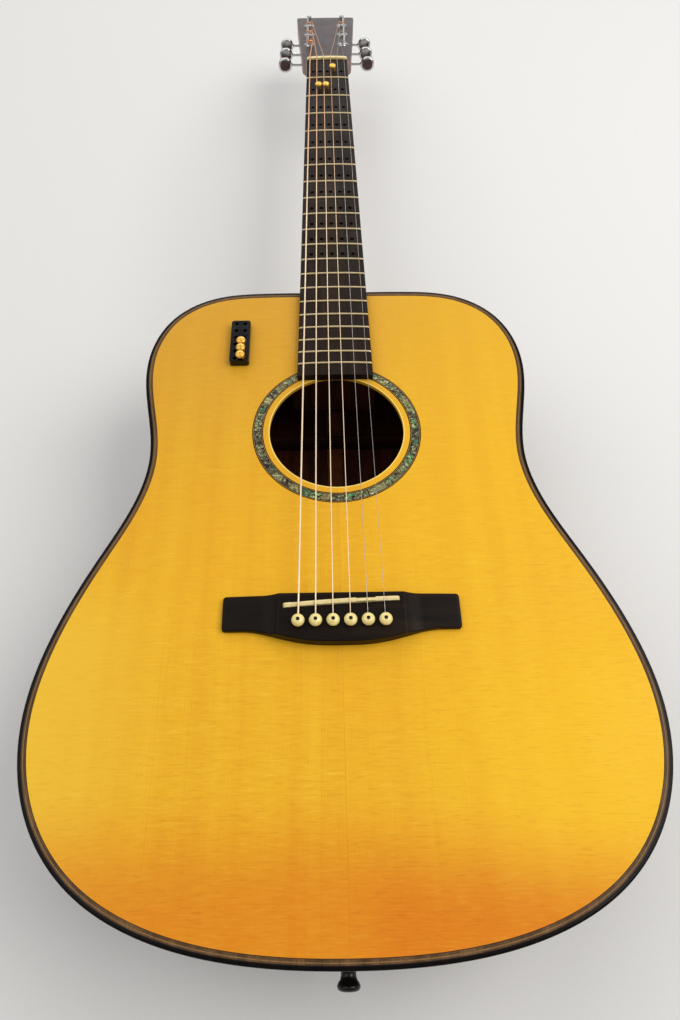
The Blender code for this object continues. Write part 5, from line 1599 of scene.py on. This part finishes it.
WASHER_PROFILE = [
    (POST_RADIUS + 0.0003, 0.0017), (0.0070, 0.0017), (0.0072, 0.0021), (0.0067, 0.0026),
    (0.0050, 0.0028), (0.0048, 0.0036), (0.0042, 0.0040), (POST_RADIUS + 0.0003, 0.0040),
    (POST_RADIUS + 0.0003, 0.0017),
]
# Rings of the button, through its thickness: height, scale.
KNOB_RINGS = ((-0.0029, 0.70), (-0.0028, 0.84), (-0.0023, 0.94), (-0.0012, 0.995), (0.0, 1.0),
              (0.0012, 0.995), (0.0023, 0.94), (0.0028, 0.84), (0.0029, 0.70))


def tuner_key(post_x):
    """Worm shaft and button, with local z pointing outward from the middle of the head."""
    shaft = turned([
        (0.0, post_x - 0.0087), (0.0013, post_x - 0.0087), (0.0015, post_x - 0.0084),
        (0.0015, post_x + 0.0060), (0.0021, post_x + 0.0062), (0.0021, post_x + 0.0090),
        (0.0016, post_x + 0.0096), (0.0015, BUTTON_START - 0.001), (0.0024, BUTTON_START),
        (0.0024, BUTTON_START + 0.0016), (0.0, BUTTON_START + 0.0016),
    ], 24)
    worm, thickness = [], []
    for t in linspace(0, 1, 120):
        a = 2 * pi * t * 4.2
        worm.append((0.00165 * cos(a), 0.00165 * sin(a), post_x - 0.0040 + 0.0072 * t))
        thickness.append(0.0003 + 0.0004 * min(1, 8 * min(t, 1 - t)))
    rings = []
    for lift, scale in KNOB_RINGS:
        ring = []
        for k in range(40):
            a = 2 * pi * k / 40
            z = BUTTON_START + 0.0082 + 0.0082 * scale * swelled(sin(a), 0.88)
            ring.append((0.0078 * scale * swelled(cos(a), 0.88), lift, z))
        rings.append(ring)
    return joined(shaft, tube(worm, thickness, 6), loft(rings))


for i, label in enumerate(STRING_NAMES):
    x, along = POSTS[i]
    side = -1.0 if x < 0 else 1.0
    place = head_matrix(x, along, 0.0)
    body = "tuner_post_" + label
    part("post_" + label, tuner_post(place), "chrome_plate", "nickel", body, body, angle=32)
    part("coil_" + label, string_coil(i, side, place),
         "bronze_coil" if i < WOUND else "plain_wire",
         "bronze_wound" if i < WOUND else "plain_steel", body=body, angle=60)
    part("gear_" + label, gear(place), "nickel_part", "nickel", body=body)
    screw_place = head_matrix(x, along, PLATE_LOW - GEAR_DEPTH) @ spun("X", pi)
    screw_head("gear_screw_" + label, screw_place, 0.0024, 0.0009, body)
    part("washer_" + label, turned(WASHER_PROFILE, 36, place), "chrome_plate", "nickel")
    key = tuner_key(abs(x))
    key.transform(head_matrix(0.0, along + WORM_OFFSET, WORM_RISE) @ spun("Y", pi / 2 * side))
    body = "tuner_button_" + label
    part("key_" + label, key, "chrome_plate", "nickel", body, body, angle=40)

# ------------------------------------------------------------------ end pin, pegs and holder
END_PIN_PROFILE = [
    (0.0, 0.0137), (0.0022, 0.0137), (0.0022, 0.0140), (0.0044, 0.0140), (0.0060, 0.0134),
    (0.0068, 0.0122), (0.0068, 0.0110), (0.0060, 0.0095), (0.0050, 0.0083), (0.0045, 0.0065),
    (0.0045, 0.0045), (0.0052, 0.0028), (0.0066, 0.0015), (0.0066, 0.0001), (0.0041, 0.0001),
    (0.0036, -0.0280), (0.0, -0.0280),
]
END_DOT_PROFILE = [(0.0, 0.0136), (0.00215, 0.0136), (0.00215, 0.0141), (0.0, 0.01425)]
HEAD_SHIFT = -0.0020  # centre of a peg's head from its stem
PEG_HEAD_RADIUS = 0.00365
PEG_HEAD_PROFILE = [
    (0.0, 0.0015), (0.0004, 0.0015), (0.0007, 0.0022), (0.0013, 0.0024), (0.0027, 0.0023),
    (0.0033, 0.0019), (PEG_HEAD_RADIUS, 0.0014), (PEG_HEAD_RADIUS, 0.0006), (0.0034, 0.0001),
    (0.0029, 0.0), (0.0, 0.0),
]
PEG_FOOT_PROFILE = [(0.0, 0.0005), (0.0011, 0.0005), (0.0011, -0.0009), (0.0008, -0.0013),
                    (0.0, -0.0014)]
HOLDER_ROUND = 0.0022

pin_place = moved(0, TAIL_Y, END_PIN_Z) @ spun("X")
part("end_pin_turned", turned(END_PIN_PROFILE, 36, pin_place), "end_pin_black", "ebony", "end_pin")
part("end_pin_dot", turned(END_DOT_PROFILE, 24, pin_place), "pin_cream", "bone")


def node_box(node):
    """Corners of a CAD node in the guitar's frame."""
    low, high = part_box(node)
    return low - SHIFT, high - SHIFT


def chord_peg(node):
    """Round eccentric head, a stem down to its hole and a small foot beside it."""
    low, high = node_box(node)
    under = high.z - 0.0024
    tip = low.z - under
    head = turned(PEG_HEAD_PROFILE, 40, moved(HEAD_SHIFT, 0.0, 0.0))
    stem = turned([(0.0, 0.0005), (0.00115, 0.0005), (0.00115, tip + 0.0004), (0.0008, tip),
                   (0.0, tip)], 20)
    foot = turned(PEG_FOOT_PROFILE, 20, moved(-0.0040, 0.0, 0.0))
    mesh = joined(head, stem, foot)
    mesh.transform(moved(high.x - PEG_HEAD_RADIUS - HEAD_SHIFT, (low.y + high.y) / 2, under))
    part("brass_" + node, mesh, "brass_peg", "brass_peg", node, node, angle=40)


def peg_holder():
    """Rounded block with two columns of six peg holes."""
    low, high = node_box("peg_holder")
    x, y = (low.x + high.x) / 2, (low.y + high.y) / 2
    reach_x = (high.x - low.x) / 2 - HOLDER_ROUND
    reach_y = (high.y - low.y) / 2 - HOLDER_ROUND
    loop = []
    for sign_x, sign_y, start in ((1, 1, 0), (-1, 1, 90), (-1, -1, 180), (1, -1, 270)):
        for degrees in linspace(start, start + 90, 8):
            a = radians(degrees)
            loop.append((x + sign_x * reach_x + HOLDER_ROUND * cos(a),
                         y + sign_y * reach_y + HOLDER_ROUND * sin(a)))
    drill = [(0.0015, high.z - 0.0052), (0.0015, high.z - 0.0003), (0.0018, high.z + 0.0001),
             (0.0018, high.z + 0.002)]
    drills = [turned(drill, 18, moved(x + column, y + row, 0.0))
              for column in (-0.0034, 0.0034)
              for row in (0.0182, 0.0108, 0.0034, -0.0040, -0.0114, -0.0188)]
    return cut(plate([loop], 0.00005, high.z, 0.0007, None, 3), joined(*drills))


for node in sorted(frame["nodes"]):
    if node.startswith(("chord_peg_", "spare_peg_")):
        chord_peg(node)
part("peg_block", peg_holder(), "holder_plastic", "black_plastic", "peg_holder", angle=35)

# ------------------------------------------------------------------ studio and camera


def studio_floor():
    mesh = bpy.data.meshes.new("floor")
    mesh.from_pydata([(-6, -6, 0), (6, -6, 0), (6, 6, 0), (-6, 6, 0)], [], [(0, 1, 2, 3)])
    floor = linked("floor", mesh)
    floor.location.z = -0.0005
    paint = Paint("studio_floor")
    speck = paint.speckle(700, 700, 700, detail=2.0)
    colour = paint.mix(speck.spread(0.0, 1.0), (228, 227, 225), (230, 229, 227))
    paint.set(Base_Color=colour, Roughness=0.85)
    mesh.materials.append(MATERIALS["studio_floor"])


def area(name, place, target, size, power, colour=(1, 1, 1)):
    data = bpy.data.lights.new(name, "AREA")
    data.shape = "RECTANGLE"
    data.size, data.size_y = size
    data.energy = power
    data.color = colour
    light = bpy.data.objects.new(name, data)
    light.location = place
    aim = Vector(target) - Vector(place)
    light.rotation_euler = aim.to_track_quat("-Z", "Y").to_euler()
    bpy.context.scene.collection.objects.link(light)


def studio_world():
    world = bpy.data.worlds.new("studio")
    bpy.context.scene.world = world
    world.use_nodes = True
    background = world.node_tree.nodes["Background"]
    background.inputs["Color"].default_value = (1.0, 0.99, 0.98, 1.0)
    background.inputs["Strength"].default_value = 0.39


def studio_camera():
    """Looks along +y and down, over the tail of the guitar."""
    azimuth, descent, roll = radians(-0.153), radians(60.024), radians(-0.747)
    place = Vector((-0.00914, -0.16381, 0.42060))
    look = Vector((-sin(azimuth) * cos(descent), cos(azimuth) * cos(descent), -sin(descent)))
    level = look.cross(Vector((0, 0, 1))).normalized()
    upright = level.cross(look)
    right = cos(roll) * level + sin(roll) * upright
    up = -sin(roll) * level + cos(roll) * upright
    data = bpy.data.cameras.new("camera")
    data.sensor_width = 36.0
    data.lens = 24.189671
    data.shift_x = 0.013244118
    data.shift_y = -0.0066696078
    data.clip_start = 0.01
    camera = linked("camera", data)
    rows = [(right[k], up[k], -look[k], place[k] + SHIFT[k]) for k in range(3)]
    camera.matrix_world = Matrix((*rows, (0, 0, 0, 1)))
    bpy.context.scene.camera = camera


studio_floor()
area("key", place=(1.4, -0.1, 1.7), target=(0, -0.05, 0.1), size=(1.5, 1.5), power=28.0,
     colour=(1.0, 0.98, 0.95))
area("fill", place=(-1.4, 0.1, 2.0), target=(0, 0, 0.1), size=(2.0, 2.0), power=14.5)
area("head_light", place=(0.0, 2.2, 1.5), target=(0, 0.2, 0.1), size=(2.2, 1.0), power=17.0)
studio_world()
studio_camera()
bpy.context.scene.view_settings.view_transform = "Standard"
